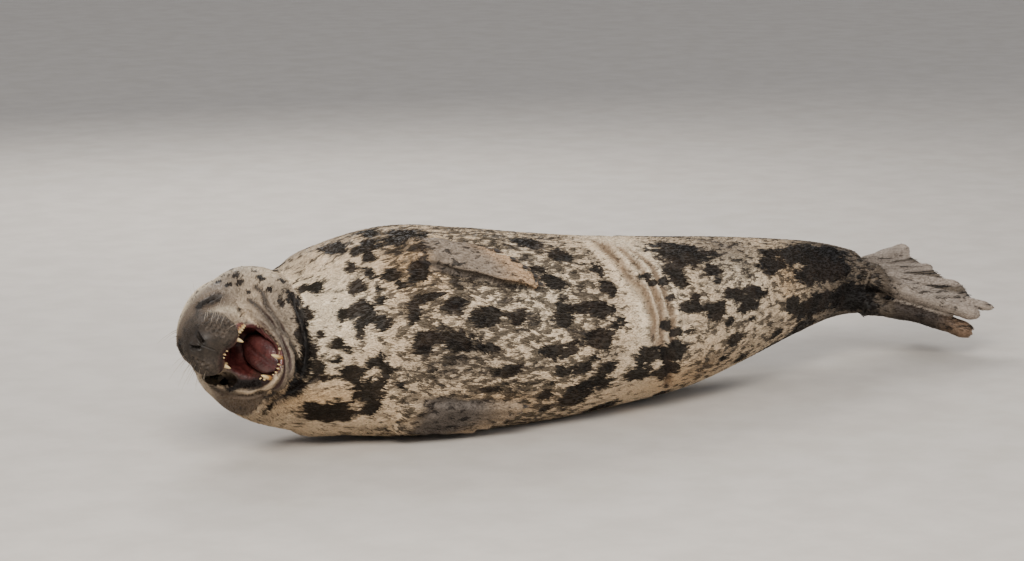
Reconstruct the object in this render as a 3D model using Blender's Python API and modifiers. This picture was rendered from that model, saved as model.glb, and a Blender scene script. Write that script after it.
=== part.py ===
"""Grey seal lying on its right side with its mouth wide open: a still, life-size model.

Metres, +Z up.  The head points to -X and the belly to -Y, so the animal's left side is
uppermost.  The body is a row of cross-sections along a bent centre line.  The head and the
lower jaw are shorter rows of sections in frames of their own, joined to the body by one skin.
The finished flesh is parted by thin cuts where the parts of the animal are named.
"""
import bmesh
import bpy
import numpy as np
from mathutils import Vector

# ---------------------------------------------------------------- driving sizes, in metres
GAP = 0.0004              # clearance between parts that touch
BODY_CELL = 0.006         # grain of the joined flesh before it is thinned
FLIPPER_CELL = 0.0045     # grain of a flipper before it is thinned
ROUND = 2.2               # exponent of the cross-sections; 2 is an ellipse
FLOOR_SOFT = 0.012        # how softly flesh spreads where it meets the floor
FLOOR_SINK = 0.004        # how deep the spread flesh is trimmed to give the flats

# Body stations from the back of the head to the ankles.  Each row holds the centre x, y, z,
# the reach to the side, the belly and the back, and the share of the head's roll.
BODY = np.array([
    [-0.552, 0.036, 0.248, 0.090, 0.084, 0.074, 1.00],
    [-0.508, 0.041, 0.247, 0.120, 0.118, 0.094, 0.95],
    [-0.456, 0.050, 0.189, 0.130, 0.133, 0.098, 0.85],
    [-0.390, 0.044, 0.188, 0.170, 0.153, 0.112, 0.65],
    [-0.306, 0.038, 0.196, 0.187, 0.190, 0.140, 0.35],
    [-0.190, 0.018, 0.200, 0.206, 0.208, 0.155, 0.10],
    [-0.049, -0.004, 0.190, 0.203, 0.215, 0.165, 0.00],
    [0.113, -0.020, 0.178, 0.191, 0.212, 0.168, 0.00],
    [0.285, -0.030, 0.172, 0.174, 0.200, 0.162, 0.00],
    [0.454, -0.034, 0.170, 0.159, 0.180, 0.150, 0.00],
    [0.622, -0.030, 0.177, 0.135, 0.145, 0.130, 0.00],
    [0.786, -0.020, 0.182, 0.108, 0.108, 0.106, 0.00],
    [0.927, -0.008, 0.180, 0.086, 0.075, 0.082, 0.00],
    [1.043, 0.004, 0.167, 0.068, 0.048, 0.055, 0.00],
])

# The head's own frame: where it sits, which way the muzzle points and which way is its top.
HEAD_AT = np.array([-0.576, 0.018, 0.247])
HEAD_FORWARD = np.array([-0.712, -0.702, 0.010])
HEAD_TOP = np.array([-0.622, 0.645, 0.445])
HEAD_SCALE = 0.99

# Skull stations: distance forward, half width, top and bottom.
SKULL = np.array([
    [-0.105, 0.084, 0.082, -0.080],
    [-0.060, 0.090, 0.084, -0.085],
    [-0.020, 0.089, 0.079, -0.075],
    [0.020, 0.076, 0.069, -0.058],
    [0.055, 0.058, 0.059, -0.052],
    [0.090, 0.052, 0.046, -0.052],
    [0.115, 0.046, 0.035, -0.047],
    [0.135, 0.035, 0.023, -0.034],
    [0.146, 0.018, 0.005, -0.016],
])

# Lower jaw stations in the jaw's frame, which turns about the hinge by the gape.
GAPE = np.radians(45.0)
HINGE = np.array([-0.030, 0.0, -0.045])
JAW = np.array([
    [-0.040, 0.080, 0.010, -0.064],
    [0.020, 0.074, 0.004, -0.056],
    [0.060, 0.063, 0.000, -0.046],
    [0.100, 0.053, -0.002, -0.038],
    [0.132, 0.040, -0.004, -0.034],
    [0.154, 0.020, -0.010, -0.026],
])

# Cheek stations in the frame half way between the jaws: the web of skin at the mouth's corners.
CHEEK = np.array([
    [-0.135, 0.086, 0.048, -0.105],
    [-0.080, 0.083, 0.059, -0.086],
    [-0.020, 0.075, 0.062, -0.064],
    [0.030, 0.063, 0.054, -0.054],
    [0.062, 0.053, 0.040, -0.040],
])

# The mouth's hollow in three parts: palate (head frame), floor (jaw frame), throat (half way).
PALATE = np.array([
    [-0.010, 0.018, -0.042, -0.080],
    [0.030, 0.030, -0.037, -0.080],
    [0.070, 0.030, -0.035, -0.080],
    [0.095, 0.024, -0.038, -0.080],
    [0.112, 0.012, -0.046, -0.080],
])
FLOOR = np.array([
    [-0.005, 0.020, 0.035, -0.006],
    [0.030, 0.036, 0.035, -0.020],
    [0.070, 0.038, 0.035, -0.023],
    [0.105, 0.032, 0.035, -0.021],
    [0.130, 0.018, 0.035, -0.012],
])
THROAT = np.array([
    [0.000, 0.010, 0.005, -0.005],
    [0.020, 0.028, 0.016, -0.016],
    [0.050, 0.042, 0.028, -0.028],
    [0.080, 0.055, 0.036, -0.036],
    [0.110, 0.062, 0.050, -0.050],
])
TONGUE = np.array([
    [0.008, 0.016, -0.002, -0.026],
    [0.035, 0.029, 0.006, -0.030],
    [0.070, 0.031, 0.004, -0.032],
    [0.098, 0.024, -0.004, -0.030],
    [0.116, 0.010, -0.012, -0.022],
])

# Rounded masses of the head: centre and half sizes in the head's frame (left side given).
WHISKER_PAD = ((0.103, 0.027, -0.021), (0.040, 0.032, 0.036))
NOSE = ((0.135, 0.0, 0.003), (0.018, 0.021, 0.017))
JOWL = ((-0.128, 0.045, -0.083), (0.072, 0.054, 0.053))
BROW = ((0.024, 0.040, 0.044), (0.032, 0.018, 0.014))
NOSTRIL = ((0.147, 0.010, 0.002), (0.014, 0.0028, 0.012))

EYE_AT = np.array([0.030, 0.0400, 0.0205])      # centre of the left eyeball, head frame
EYE_RADIUS = 0.0180
SLIT_AT = np.array([0.043, 0.0540, 0.0310])     # middle of the closed lids' opening
SLIT_ALONG = np.array([-0.66, 0.59, -0.46])
SLIT_OUT = np.array([0.56, 0.66, 0.51])
SLIT_HALF = (0.0175, 0.0024, 0.0160)            # along, across, and in and out

# Teeth: forward, sideways, root height, length, radius.  Upper in the head's frame, lower in
# the jaw's frame; each row has its mate on the other side.
UPPER_TEETH = [
    (0.118, 0.004, -0.044, 0.007, 0.0026), (0.116, 0.011, -0.044, 0.007, 0.0026),
    (0.112, 0.018, -0.043, 0.009, 0.0030), (0.101, 0.027, -0.040, 0.021, 0.0060),
    (0.086, 0.032, -0.043, 0.010, 0.0046), (0.073, 0.035, -0.043, 0.010, 0.0048),
    (0.060, 0.037, -0.043, 0.010, 0.0048), (0.047, 0.039, -0.043, 0.009, 0.0046),
    (0.035, 0.040, -0.043, 0.008, 0.0040),
]
LOWER_TEETH = [
    (0.134, 0.004, -0.008, 0.007, 0.0026), (0.131, 0.011, -0.008, 0.007, 0.0026),
    (0.122, 0.022, -0.008, 0.020, 0.0058), (0.107, 0.033, -0.008, 0.010, 0.0046),
    (0.094, 0.038, -0.008, 0.010, 0.0048), (0.081, 0.042, -0.006, 0.010, 0.0048),
    (0.068, 0.044, -0.006, 0.009, 0.0046), (0.055, 0.045, -0.005, 0.008, 0.0040),
]

# Fore flippers lie on the body: share along and turn (degrees) of the wrist and of the tips
# for the leading digit, the turn from one digit to the next, and the digits' shares of length.
FORE_LEFT = dict(start=(0.240, 51.0), finish=(0.371, 33.5), step=3.6)
FORE_RIGHT = dict(start=(0.220, -33.0), finish=(0.363, -36.0), step=-4.4)
FORE_LENGTHS = (1.00, 0.97, 0.90, 0.81, 0.70)
FORE_RADII = (0.0175, 0.0075)

# Ankles: paths and radii of the two shanks that carry the hind flippers.
ANKLE_LEFT = np.array([[0.880, -0.012, 0.196], [0.985, -0.024, 0.192], [1.075, -0.058, 0.184]])
ANKLE_RIGHT = np.array([[0.880, -0.012, 0.156], [0.985, -0.024, 0.146], [1.072, -0.058, 0.128]])
ANKLE_FACE = (0.3, 1.0, 0.0)
ANKLE_RADII = ((0.056, 0.056), (0.042, 0.048), (0.024, 0.040))

# Hind flippers: ankle end and tips of the digits, from the near edge of the fan to the far one.
HIND_LEFT = np.array([
    [[1.020, -0.070, 0.184], [1.246, -0.184, 0.096]],
    [[1.020, -0.054, 0.188], [1.302, -0.172, 0.104]],
    [[1.020, -0.039, 0.191], [1.283, -0.087, 0.146]],
    [[1.020, -0.024, 0.194], [1.273, -0.013, 0.174]],
    [[1.020, -0.010, 0.196], [1.263, 0.060, 0.204]],
])
HIND_RIGHT = np.array([
    [[1.020, -0.060, 0.124], [1.238, -0.170, 0.053]],
    [[1.020, -0.046, 0.124], [1.264, -0.150, 0.058]],
    [[1.020, -0.033, 0.125], [1.263, -0.072, 0.064]],
    [[1.020, -0.019, 0.127], [1.261, -0.006, 0.072]],
    [[1.020, -0.005, 0.129], [1.264, 0.054, 0.078]],
])
HIND_RADII = ((0.0240, 0.0190), (0.0200, 0.0125), (0.0180, 0.0115), (0.0180, 0.0125), (0.0190, 0.0220))
HIND_BOW = (0.0, 0.012)         # rise of the digits' middles, left and right
FAN_FACE = (0.10, 0.35, 1.0)    # the way the flats of the fans look
WEB_THICK = 0.010
WEB_REACH = 0.94
TAIL = np.array([[0.985, 0.052, 0.176], [1.060, 0.088, 0.176], [1.120, 0.112, 0.172]])
TAIL_FACE = (-0.5, 1.0, 0.0)
TAIL_RADII = ((0.040, 0.024), (0.032, 0.015), (0.014, 0.008))
CLAW_FORE = (0.021, 0.0042)     # length and radius
CLAW_HIND = (0.009, 0.0028)

# Where the body is parted: share along the body, from the head backwards.
CUTS = (("head", 0.082), ("neck", 0.164), ("chest", 0.456), ("abdomen", 0.692))
TRIANGLES = dict(flesh=2800, fore=260, hind=340)    # before the cuts add their edges

COLOURS = {
    "flesh": (0.55, 0.50, 0.42), "head": (0.30, 0.27, 0.24), "lower_jaw": (0.36, 0.32, 0.28),
    "tongue": (0.35, 0.10, 0.10), "eye_left": (0.03, 0.03, 0.03), "eye_right": (0.03, 0.03, 0.03),
    "fore_flipper_left": (0.34, 0.30, 0.26), "fore_flipper_right": (0.34, 0.30, 0.26),
    "hind_flipper_left": (0.45, 0.42, 0.40), "hind_flipper_right": (0.25, 0.23, 0.22),
}


# ---------------------------------------------------------------- shapes in numbers
def smooth(knots, values, at):
    """Smooth curve through the rows of values, with slopes taken from the neighbours."""
    knots, values = np.asarray(knots, float), np.asarray(values, float)
    at = np.clip(np.asarray(at, float), knots[0], knots[-1])
    slope = np.gradient(values, knots, axis=0)
    i = np.clip(np.searchsorted(knots, at, side="right") - 1, 0, len(knots) - 2)
    step = knots[i + 1] - knots[i]
    t = (at - knots[i]) / step
    if values.ndim == 2:
        step, t = step[:, None], t[:, None]
    return ((2 * t**3 - 3 * t**2 + 1) * values[i] + (t**3 - 2 * t**2 + t) * step * slope[i]
            + (3 * t**2 - 2 * t**3) * values[i + 1] + (t**3 - t**2) * step * slope[i + 1])


def unit(v):
    """Vectors of length one."""
    return v / np.linalg.norm(v, axis=-1, keepdims=True)


def head_axes():
    """Rows forward, left and top of the head's frame."""
    forward = unit(HEAD_FORWARD)
    top = unit(HEAD_TOP - (HEAD_TOP @ forward) * forward)
    return np.stack([forward, np.cross(top, forward), top])


def head_to_world(p):
    """Head frame to world."""
    return HEAD_AT + HEAD_SCALE * np.asarray(p) @ head_axes()


def tilt_down(p, angle):
    """Turn points of a jaw about the hinge, down by an angle, into the head's frame."""
    p = np.asarray(p)
    c, s = np.cos(angle), np.sin(angle)
    return HINGE + np.stack([p[..., 0] * c + p[..., 2] * s, p[..., 1],
                             p[..., 2] * c - p[..., 0] * s], -1)


def ring(count):
    """Cosine and sine parts of a rounded cross-section."""
    turn = np.linspace(0, 2 * np.pi, count, endpoint=False)
    c, s = np.cos(turn), np.sin(turn)
    size = (np.abs(c) ** ROUND + np.abs(s) ** ROUND) ** (-1 / ROUND)
    return size * c, size * s


def sections(table, rows, count):
    """Rings of a row of stations (forward, half width, top, bottom)."""
    at = np.linspace(table[0, 0], table[-1, 0], rows)
    wide, top, low = smooth(table[:, 0], table[:, 1:], at).T
    c, s = ring(count)
    return np.stack([np.broadcast_to(at[:, None], (rows, count)), wide[:, None] * s,
                     (top + low)[:, None] / 2 + (top - low)[:, None] / 2 * c], -1)


def body_line(at):
    """Centre, backward direction, left, belly direction and reaches at lengths along the body."""
    mid = BODY[:, :3]
    run = np.r_[0, np.cumsum(np.linalg.norm(np.diff(mid, axis=0), axis=1))]
    at = np.asarray(at, float) * run[-1]
    nudge = 1e-4
    centre = smooth(run, mid, at)
    back = unit(smooth(run, mid, at + nudge) - smooth(run, mid, at - nudge))
    roll = smooth(run, BODY[:, 6], at)[:, None]
    left = (1 - roll) * np.array([0.0, 0.0, 1.0]) + roll * head_axes()[1]
    left = unit(left - (left * back).sum(-1, keepdims=True) * back)
    return centre, back, left, np.cross(back, left), smooth(run, BODY[:, 3:6], at)


def body_point(along, turn):
    """Points of the body's surface: share along, and turn from the belly (0) to the left (+)."""
    centre, _, left, belly, reach = body_line(along)
    c, s = np.cos(turn), np.sin(turn)
    size = (np.abs(c) ** ROUND + np.abs(s) ** ROUND) ** (-1 / ROUND)
    deep = np.where(c > 0, reach[:, 1], reach[:, 2]) * size * c
    wide = reach[:, 0] * size * s
    return centre + belly * deep[:, None] + left * wide[:, None]


def body_rings(rows, count):
    """Rings of the whole body."""
    along, turn = np.meshgrid(np.linspace(0, 1, rows),
                              np.linspace(0, 2 * np.pi, count, endpoint=False), indexing="ij")
    return body_point(along.ravel(), turn.ravel()).reshape(rows, count, 3)


# ---------------------------------------------------------------- solids
def loft(name, rings):
    """Closed solid through a row of rings, capped at both ends."""
    rows, count = rings.shape[:2]
    verts = np.vstack([rings.reshape(-1, 3), rings[0].mean(0), rings[-1].mean(0)])
    faces = []
    for i in range(rows - 1):
        for j in range(count):
            k = (j + 1) % count
            faces.append((i * count + j, i * count + k, (i + 1) * count + k, (i + 1) * count + j))
    first, last = rows * count, rows * count + 1
    for j in range(count):
        k = (j + 1) % count
        faces.append((first, k, j))
        faces.append((last, (rows - 1) * count + j, (rows - 1) * count + k))
    mesh = bpy.data.meshes.new(name)
    mesh.from_pydata([tuple(v) for v in verts], [], faces)
    shell = bmesh.new()
    shell.from_mesh(mesh)
    bmesh.ops.recalc_face_normals(shell, faces=shell.faces)
    if shell.calc_volume(signed=True) < 0:
        bmesh.ops.reverse_faces(shell, faces=shell.faces)
    shell.to_mesh(mesh)
    shell.free()
    item = bpy.data.objects.new(name, mesh)
    bpy.context.scene.collection.objects.link(item)
    return item


def settle(item, kind, **values):
    """Add one modifier and apply it."""
    step = item.modifiers.new(kind.lower(), kind)
    for key, value in values.items():
        setattr(step, key, value)
    graph = bpy.context.evaluated_depsgraph_get()
    fresh = bpy.data.meshes.new_from_object(item.evaluated_get(graph))
    item.modifiers.clear()
    item.data = fresh
    return item


def combine(first, second, how, keep=False):
    """Boolean of two solids; the second is removed unless kept."""
    settle(first, "BOOLEAN", operation=how, solver="MANIFOLD", object=second)
    if not keep:
        bpy.data.objects.remove(second)
    return first


def fuse(items, name, cell, passes):
    """Join overlapping solids under one smooth skin."""
    verts, faces, start = [], [], 0
    for item in items:
        mesh = item.data
        verts += [tuple(item.matrix_world @ v.co) for v in mesh.vertices]
        faces += [tuple(start + i for i in f.vertices) for f in mesh.polygons]
        start = len(verts)
        bpy.data.objects.remove(item)
    mesh = bpy.data.meshes.new(name)
    mesh.from_pydata(verts, [], faces)
    whole = bpy.data.objects.new(name, mesh)
    bpy.context.scene.collection.objects.link(whole)
    settle(whole, "REMESH", mode="VOXEL", voxel_size=cell, adaptivity=0.0)
    settle(whole, "SMOOTH", factor=0.5, iterations=passes)
    return whole


def tube(name, path, radii, face, count=12):
    """Tapered limb along a path; face is the flat's direction, radii are (side, flat) per row."""
    path, face = np.asarray(path, float), np.asarray(face, float)
    way = unit(np.gradient(path, axis=0))
    side = unit(np.cross(face, way))
    flat = np.cross(way, side)
    c, s = ring(count)
    radii = np.asarray(radii, float)
    rings = (path[:, None] + side[:, None] * (radii[:, :1] * c)[..., None]
             + flat[:, None] * (radii[:, 1:] * s)[..., None])
    return loft(name, rings)


def limb(name, stops, sizes, face):
    """Smooth limb through a few stops with their (side, flat) radii."""
    knots, at = np.arange(float(len(stops))), np.linspace(0, len(stops) - 1, 10)
    return tube(name, smooth(knots, stops, at), smooth(knots, np.array(sizes), at),
                np.tile(face, (10, 1)), 14)


def ball(name, centre, half, axes=None, rings=7, count=12):
    """Ellipsoid with its own axes (rows)."""
    bpy.ops.mesh.primitive_uv_sphere_add(segments=count, ring_count=rings, radius=1.0)
    item = bpy.context.object
    item.name = name
    axes = np.eye(3) if axes is None else axes * np.sign(np.linalg.det(axes))
    for v in item.data.vertices:
        v.co = Vector(np.asarray(centre) + (np.array(v.co) * half) @ axes)
    return item


def head_ball(name, centre, half, axes=None):
    """Ellipsoid given in the head's frame."""
    axes = np.eye(3) if axes is None else axes
    return ball(name, head_to_world(centre), HEAD_SCALE * np.asarray(half), axes @ head_axes())


def cone(name, root, tip, radius, count=5, rows=2):
    """Pointed tooth or claw; more rows round its taper."""
    t = np.linspace(0.0, 0.97, rows)
    wide = radius * np.sqrt(np.clip(1 - t ** 1.6, 0.002, 1))
    root, tip = np.asarray(root, float), np.asarray(tip, float)
    path = root + (tip - root) * t[:, None]
    across = np.array([0.0, 0.0, 1.0]) if abs(unit(tip - root)[2]) < 0.8 else np.array([0.0, 1.0, 0.0])
    return tube(name, path, np.stack([wide, wide], 1), np.tile(across, (rows, 1)), count)


def swell(item, amount, name):
    """Copy of a solid grown outward along its normals."""
    grown = bpy.data.objects.new(name, item.data.copy())
    bpy.context.scene.collection.objects.link(grown)
    shift = [v.co + v.normal * amount for v in grown.data.vertices]
    for v, place in zip(grown.data.vertices, shift):
        v.co = place
    return grown


def thin(item, triangles):
    """Thin a mesh to about a number of triangles."""
    now = sum(len(f.vertices) - 2 for f in item.data.polygons)
    settle(item, "DECIMATE", ratio=min(1.0, triangles / now))
    return item


def spread(item):
    """Let flesh that reaches the floor spread upon it."""
    for v in item.data.vertices:
        z = v.co.z
        v.co.z = (z + (z * z + FLOOR_SOFT ** 2) ** 0.5) / 2 - FLOOR_SINK
    return item


def half_space(name, point, normal):
    """Big block on the side of a plane that the normal points to."""
    normal = Vector(normal).normalized()
    bpy.ops.mesh.primitive_cube_add(size=1.0)
    block = bpy.context.object
    block.name = name
    turn = normal.to_track_quat("Z", "Y").to_matrix()
    for v in block.data.vertices:
        v.co = turn @ (Vector(v.co) * 4 + Vector((0, 0, 2))) + Vector(point)
    return block


def split(item, point, normal, name):
    """Part a solid by a thin plane; what lies beyond it, along the normal, is returned."""
    point, normal = np.asarray(point, float), unit(np.asarray(normal, float))
    other = bpy.data.objects.new(name, item.data.copy())
    bpy.context.scene.collection.objects.link(other)
    combine(item, half_space("far", point - normal * GAP / 2, normal), "DIFFERENCE")
    combine(other, half_space("near", point + normal * GAP / 2, -normal), "DIFFERENCE")
    return other


def trim_floor(item):
    """Cut away what lies below the floor."""
    return combine(item, half_space("below", (0, 0, 0), (0, 0, -1)), "DIFFERENCE")


# ---------------------------------------------------------------- flippers
def on_skin(along, turn, lift):
    """Points lifted off the body's surface, and the surface's outward directions there."""
    e = 1e-3
    place = body_point(along, turn)
    outward = unit(np.cross(body_point(along + e, turn) - place, body_point(along, turn + e) - place))
    outward *= np.sign(((place - body_line(along)[0]) * outward).sum(-1, keepdims=True))
    return place + outward * np.asarray(lift)[:, None], outward


def fore_flipper(name, start, finish, step):
    """Five digits lying on the flank, drawn together, with claws."""
    parts, claws = [], []
    share = np.linspace(-0.16, 1.0, 12)
    for digit, length in enumerate(FORE_LENGTHS):
        t = share * length
        along = start[0] + (finish[0] - start[0]) * t
        turn = np.radians(start[1] + (finish[1] - start[1]) * t + step * digit * (0.86 + 0.2 * t))
        grow = np.clip(share, 0, 1)
        radius = FORE_RADII[0] + (FORE_RADII[1] - FORE_RADII[0]) * grow ** 0.8
        lift = -0.030 * np.clip(-share / 0.16, 0, 1) - 0.004 + 0.012 * grow
        path, outward = on_skin(along, turn, lift)
        parts.append(tube("digit", path, np.stack([radius * 1.25, radius], 1), outward))
        way = unit(path[-1] - path[-2])
        claws.append(cone("claw", path[-1] - way * 0.006, path[-1] + way * CLAW_FORE[0],
                          CLAW_FORE[1]))
    return thin(fuse(parts, name, FLIPPER_CELL, 3), TRIANGLES["fore"]), claws


def hind_flipper(name, digits, bow, face):
    """Fan of five digits and the webs between them, with small claws."""
    parts, claws, lines = [], [], []
    share = np.linspace(0, 1, 12)
    for (root, tip), (thick, fine) in zip(digits, HIND_RADII):
        path = root + (tip - root) * share[:, None]
        path[:, 2] += bow * 4 * share * (1 - share)
        radius = thick + (fine - thick) * share
        radius[-1] *= 0.6
        parts.append(tube("digit", path, np.stack([radius * 1.1, radius * 0.85], 1),
                          np.tile(face, (12, 1))))
        way = unit(path[-1] - path[-2])
        claws.append(cone("claw", tip - way * 0.004, tip + way * CLAW_HIND[0], CLAW_HIND[1]))
        lines.append(path[0] + (path - path[0]) * WEB_REACH)
    lines = np.array(lines)
    for one, two in zip(lines[:-1], lines[1:]):
        middle = (one + two) / 2
        half = np.linalg.norm(one - two, axis=1) / 2 + 0.002
        across = unit(two - one)
        way = unit(np.gradient(middle, axis=0))
        flat = unit(np.cross(across, way))
        parts.append(tube("web", middle, np.stack([half, np.full(12, WEB_THICK / 2)], 1), flat))
    return thin(fuse(parts, name, FLIPPER_CELL, 3), TRIANGLES["hind"]), claws


def hollow(table, angle):
    """Hollow of the mouth from its stations; an angle of zero keeps it in the head's frame."""
    rings = sections(table, 14, 24)
    return loft("hollow", head_to_world(tilt_down(rings, angle) if angle else rings))


# ---------------------------------------------------------------- the animal
for old in list(bpy.data.objects):
    bpy.data.objects.remove(old, do_unlink=True)

# One flesh: trunk, skull, jaw, cheeks and the muzzle's masses under a single skin.
forms = [
    loft("trunk_form", body_rings(80, 48)),
    loft("skull_form", head_to_world(sections(SKULL, 28, 32))),
    loft("jaw_form", head_to_world(tilt_down(sections(JAW, 22, 32), GAPE))),
    loft("cheek_form", head_to_world(tilt_down(sections(CHEEK, 14, 32), GAPE / 2))),
    head_ball("nose_form", *NOSE),
]
for path in (ANKLE_LEFT, ANKLE_RIGHT):
    forms.append(limb("ankle_form", path, ANKLE_RADII, ANKLE_FACE))
for centre, half in (WHISKER_PAD, JOWL, BROW):
    for side in (1, -1):
        forms.append(head_ball("mass", np.array(centre) * (1, side, 1), half))
flesh = fuse(forms, "flesh", BODY_CELL, 4)
for table, angle in ((PALATE, 0.0), (FLOOR, GAPE), (THROAT, GAPE / 2)):
    combine(flesh, hollow(table, angle), "DIFFERENCE")
flesh = fuse([flesh], "flesh", BODY_CELL * 0.8, 3)
thin(spread(flesh), TRIANGLES["flesh"])
trim_floor(flesh)

# Limbs: each lies on the flesh or grows from it, cut to its shape and clear of it by the gap.
limbs = {
    "fore_flipper_left": fore_flipper("fore_flipper_left", **FORE_LEFT),
    "fore_flipper_right": fore_flipper("fore_flipper_right", **FORE_RIGHT),
    "hind_flipper_left": hind_flipper("hind_flipper_left", HIND_LEFT, HIND_BOW[0], FAN_FACE),
    "hind_flipper_right": hind_flipper("hind_flipper_right", HIND_RIGHT, HIND_BOW[1], FAN_FACE),
}
limbs["tail"] = (limb("tail", TAIL, TAIL_RADII, TAIL_FACE), [])
nodes = {}
for name, (piece, claws) in limbs.items():
    for claw in claws:
        combine(piece, claw, "UNION")
    nodes[name] = combine(piece, swell(flesh, 2 * GAP, "bed"), "DIFFERENCE")

# Eyes behind closed lids, and the nostrils.
slit_axes = [unit(SLIT_ALONG)]
slit_out = unit(SLIT_OUT - (SLIT_OUT @ slit_axes[0]) * slit_axes[0])
slit_axes = np.stack([slit_axes[0], np.cross(slit_out, slit_axes[0]), slit_out])
for name, side in (("eye_left", 1.0), ("eye_right", -1.0)):
    flip = np.array([1.0, side, 1.0])
    nodes[name] = head_ball(name, EYE_AT * flip, np.full(3, EYE_RADIUS))
    combine(flesh, head_ball("socket", EYE_AT * flip, np.full(3, EYE_RADIUS + GAP)), "DIFFERENCE")
    combine(flesh, head_ball("slit", SLIT_AT * flip, SLIT_HALF, slit_axes * flip), "DIFFERENCE")
    combine(flesh, head_ball("nostril", np.array(NOSTRIL[0]) * flip, NOSTRIL[1]), "DIFFERENCE")

# Part the flesh by thin cuts across the body, then the lower jaw from the head.
rest = flesh
for name, share in CUTS:
    centre, back = (v[0] for v in body_line([share])[:2])
    following = split(rest, centre, back, "rest")
    nodes[name] = rest
    rest = following
nodes["hindquarters"] = rest
level = head_to_world(tilt_down(np.array([[0.0, 0.0, 0.0], [0.0, 0.0, 1.0]]), GAPE / 2))
nodes["lower_jaw"] = split(nodes["head"], level[0], level[0] - level[1], "lower_jaw")

# Teeth grow from the jaws.
for name, teeth, angle, way in (("head", UPPER_TEETH, 0.0, -1.0), ("lower_jaw", LOWER_TEETH, GAPE, 1.0)):
    for ahead, out, height, length, radius in teeth:
        for side in (1.0, -1.0):
            ends = np.array([[ahead, out * side, height], [ahead, out * side, height + way * length]])
            ends = head_to_world(tilt_down(ends, angle) if angle else ends)
            tooth = cone("tooth", ends[0] - (ends[1] - ends[0]) * 0.35, ends[1],
                         radius * HEAD_SCALE, rows=3 if length > 0.015 else 2)
            combine(nodes[name], tooth, "UNION")

# The tongue lies in the floor of the mouth.
nodes["tongue"] = loft("tongue", head_to_world(tilt_down(sections(TONGUE, 9, 12), GAPE)))
for name in ("lower_jaw", "head"):
    combine(nodes["tongue"], swell(nodes[name], 2 * GAP, "bed"), "DIFFERENCE")

# Name, colour and gather the nodes, with the middle of their box over the origin.
collection = bpy.data.collections.new("grey_seal")
bpy.context.scene.collection.children.link(collection)
low = np.min([np.min([v.co for v in item.data.vertices], axis=0) for item in nodes.values()], axis=0)
high = np.max([np.max([v.co for v in item.data.vertices], axis=0) for item in nodes.values()], axis=0)
middle = Vector(((low[0] + high[0]) / 2, (low[1] + high[1]) / 2, 0.0))
for name, item in nodes.items():
    item.name = item.data.name = name
    for v in item.data.vertices:
        v.co -= middle
    for home in list(item.users_collection):
        home.objects.unlink(item)
    collection.objects.link(item)
    paint = bpy.data.materials.new(name)
    paint.use_nodes = True
    shader = paint.node_tree.nodes["Principled BSDF"]
    shader.inputs["Base Color"].default_value = (*COLOURS.get(name, COLOURS["flesh"]), 1.0)
    shader.inputs["Roughness"].default_value = 0.6
    item.data.materials.clear()
    item.data.materials.append(paint)
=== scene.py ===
# %% [markdown]
# # Grey seal, still and life-size
# An adult female grey seal lies on its right side with the mouth wide open. The skin is one
# closed surface grown from the same rows of sections as the solids, and everything that isn't
# flesh (eyes, teeth, tongue, claws, whiskers, coat) is a piece of its own. Metres, +Z up, the
# head towards -X and the belly towards -Y.

# %% Frame and the box of the solids
import bpy
import numpy as np
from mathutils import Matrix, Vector


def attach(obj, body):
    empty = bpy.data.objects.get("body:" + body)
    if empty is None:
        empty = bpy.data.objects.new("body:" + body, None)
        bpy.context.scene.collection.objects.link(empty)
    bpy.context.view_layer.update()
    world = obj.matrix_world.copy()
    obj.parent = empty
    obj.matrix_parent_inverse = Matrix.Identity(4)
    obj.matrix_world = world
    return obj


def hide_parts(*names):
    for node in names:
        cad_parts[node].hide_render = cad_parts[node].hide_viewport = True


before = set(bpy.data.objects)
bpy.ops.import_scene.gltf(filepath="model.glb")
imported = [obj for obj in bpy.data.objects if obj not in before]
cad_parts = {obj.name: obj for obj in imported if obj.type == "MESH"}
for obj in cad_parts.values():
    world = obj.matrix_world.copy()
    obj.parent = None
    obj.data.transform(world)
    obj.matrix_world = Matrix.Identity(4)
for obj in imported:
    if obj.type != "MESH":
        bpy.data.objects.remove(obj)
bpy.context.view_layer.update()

MIDDLE = np.array([0.31074914, -0.02722416, 0.0])     # what the solids were moved by

# %% [markdown]
# ## The form in numbers
# A seal's trunk is a spindle. Here it is a row of rounded cross-sections along a bent centre
# line. The head and the jaw are shorter rows in frames of their own, the jaw being turned down
# about its hinge. The body could be sculpted freely, but keeping the same rows as the solids
# holds the skin to the same outline.

# %% Tables of stations
def mm(rows):
    """Rows given in millimetres, as metres."""
    return np.array(rows) / 1000.0


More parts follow.
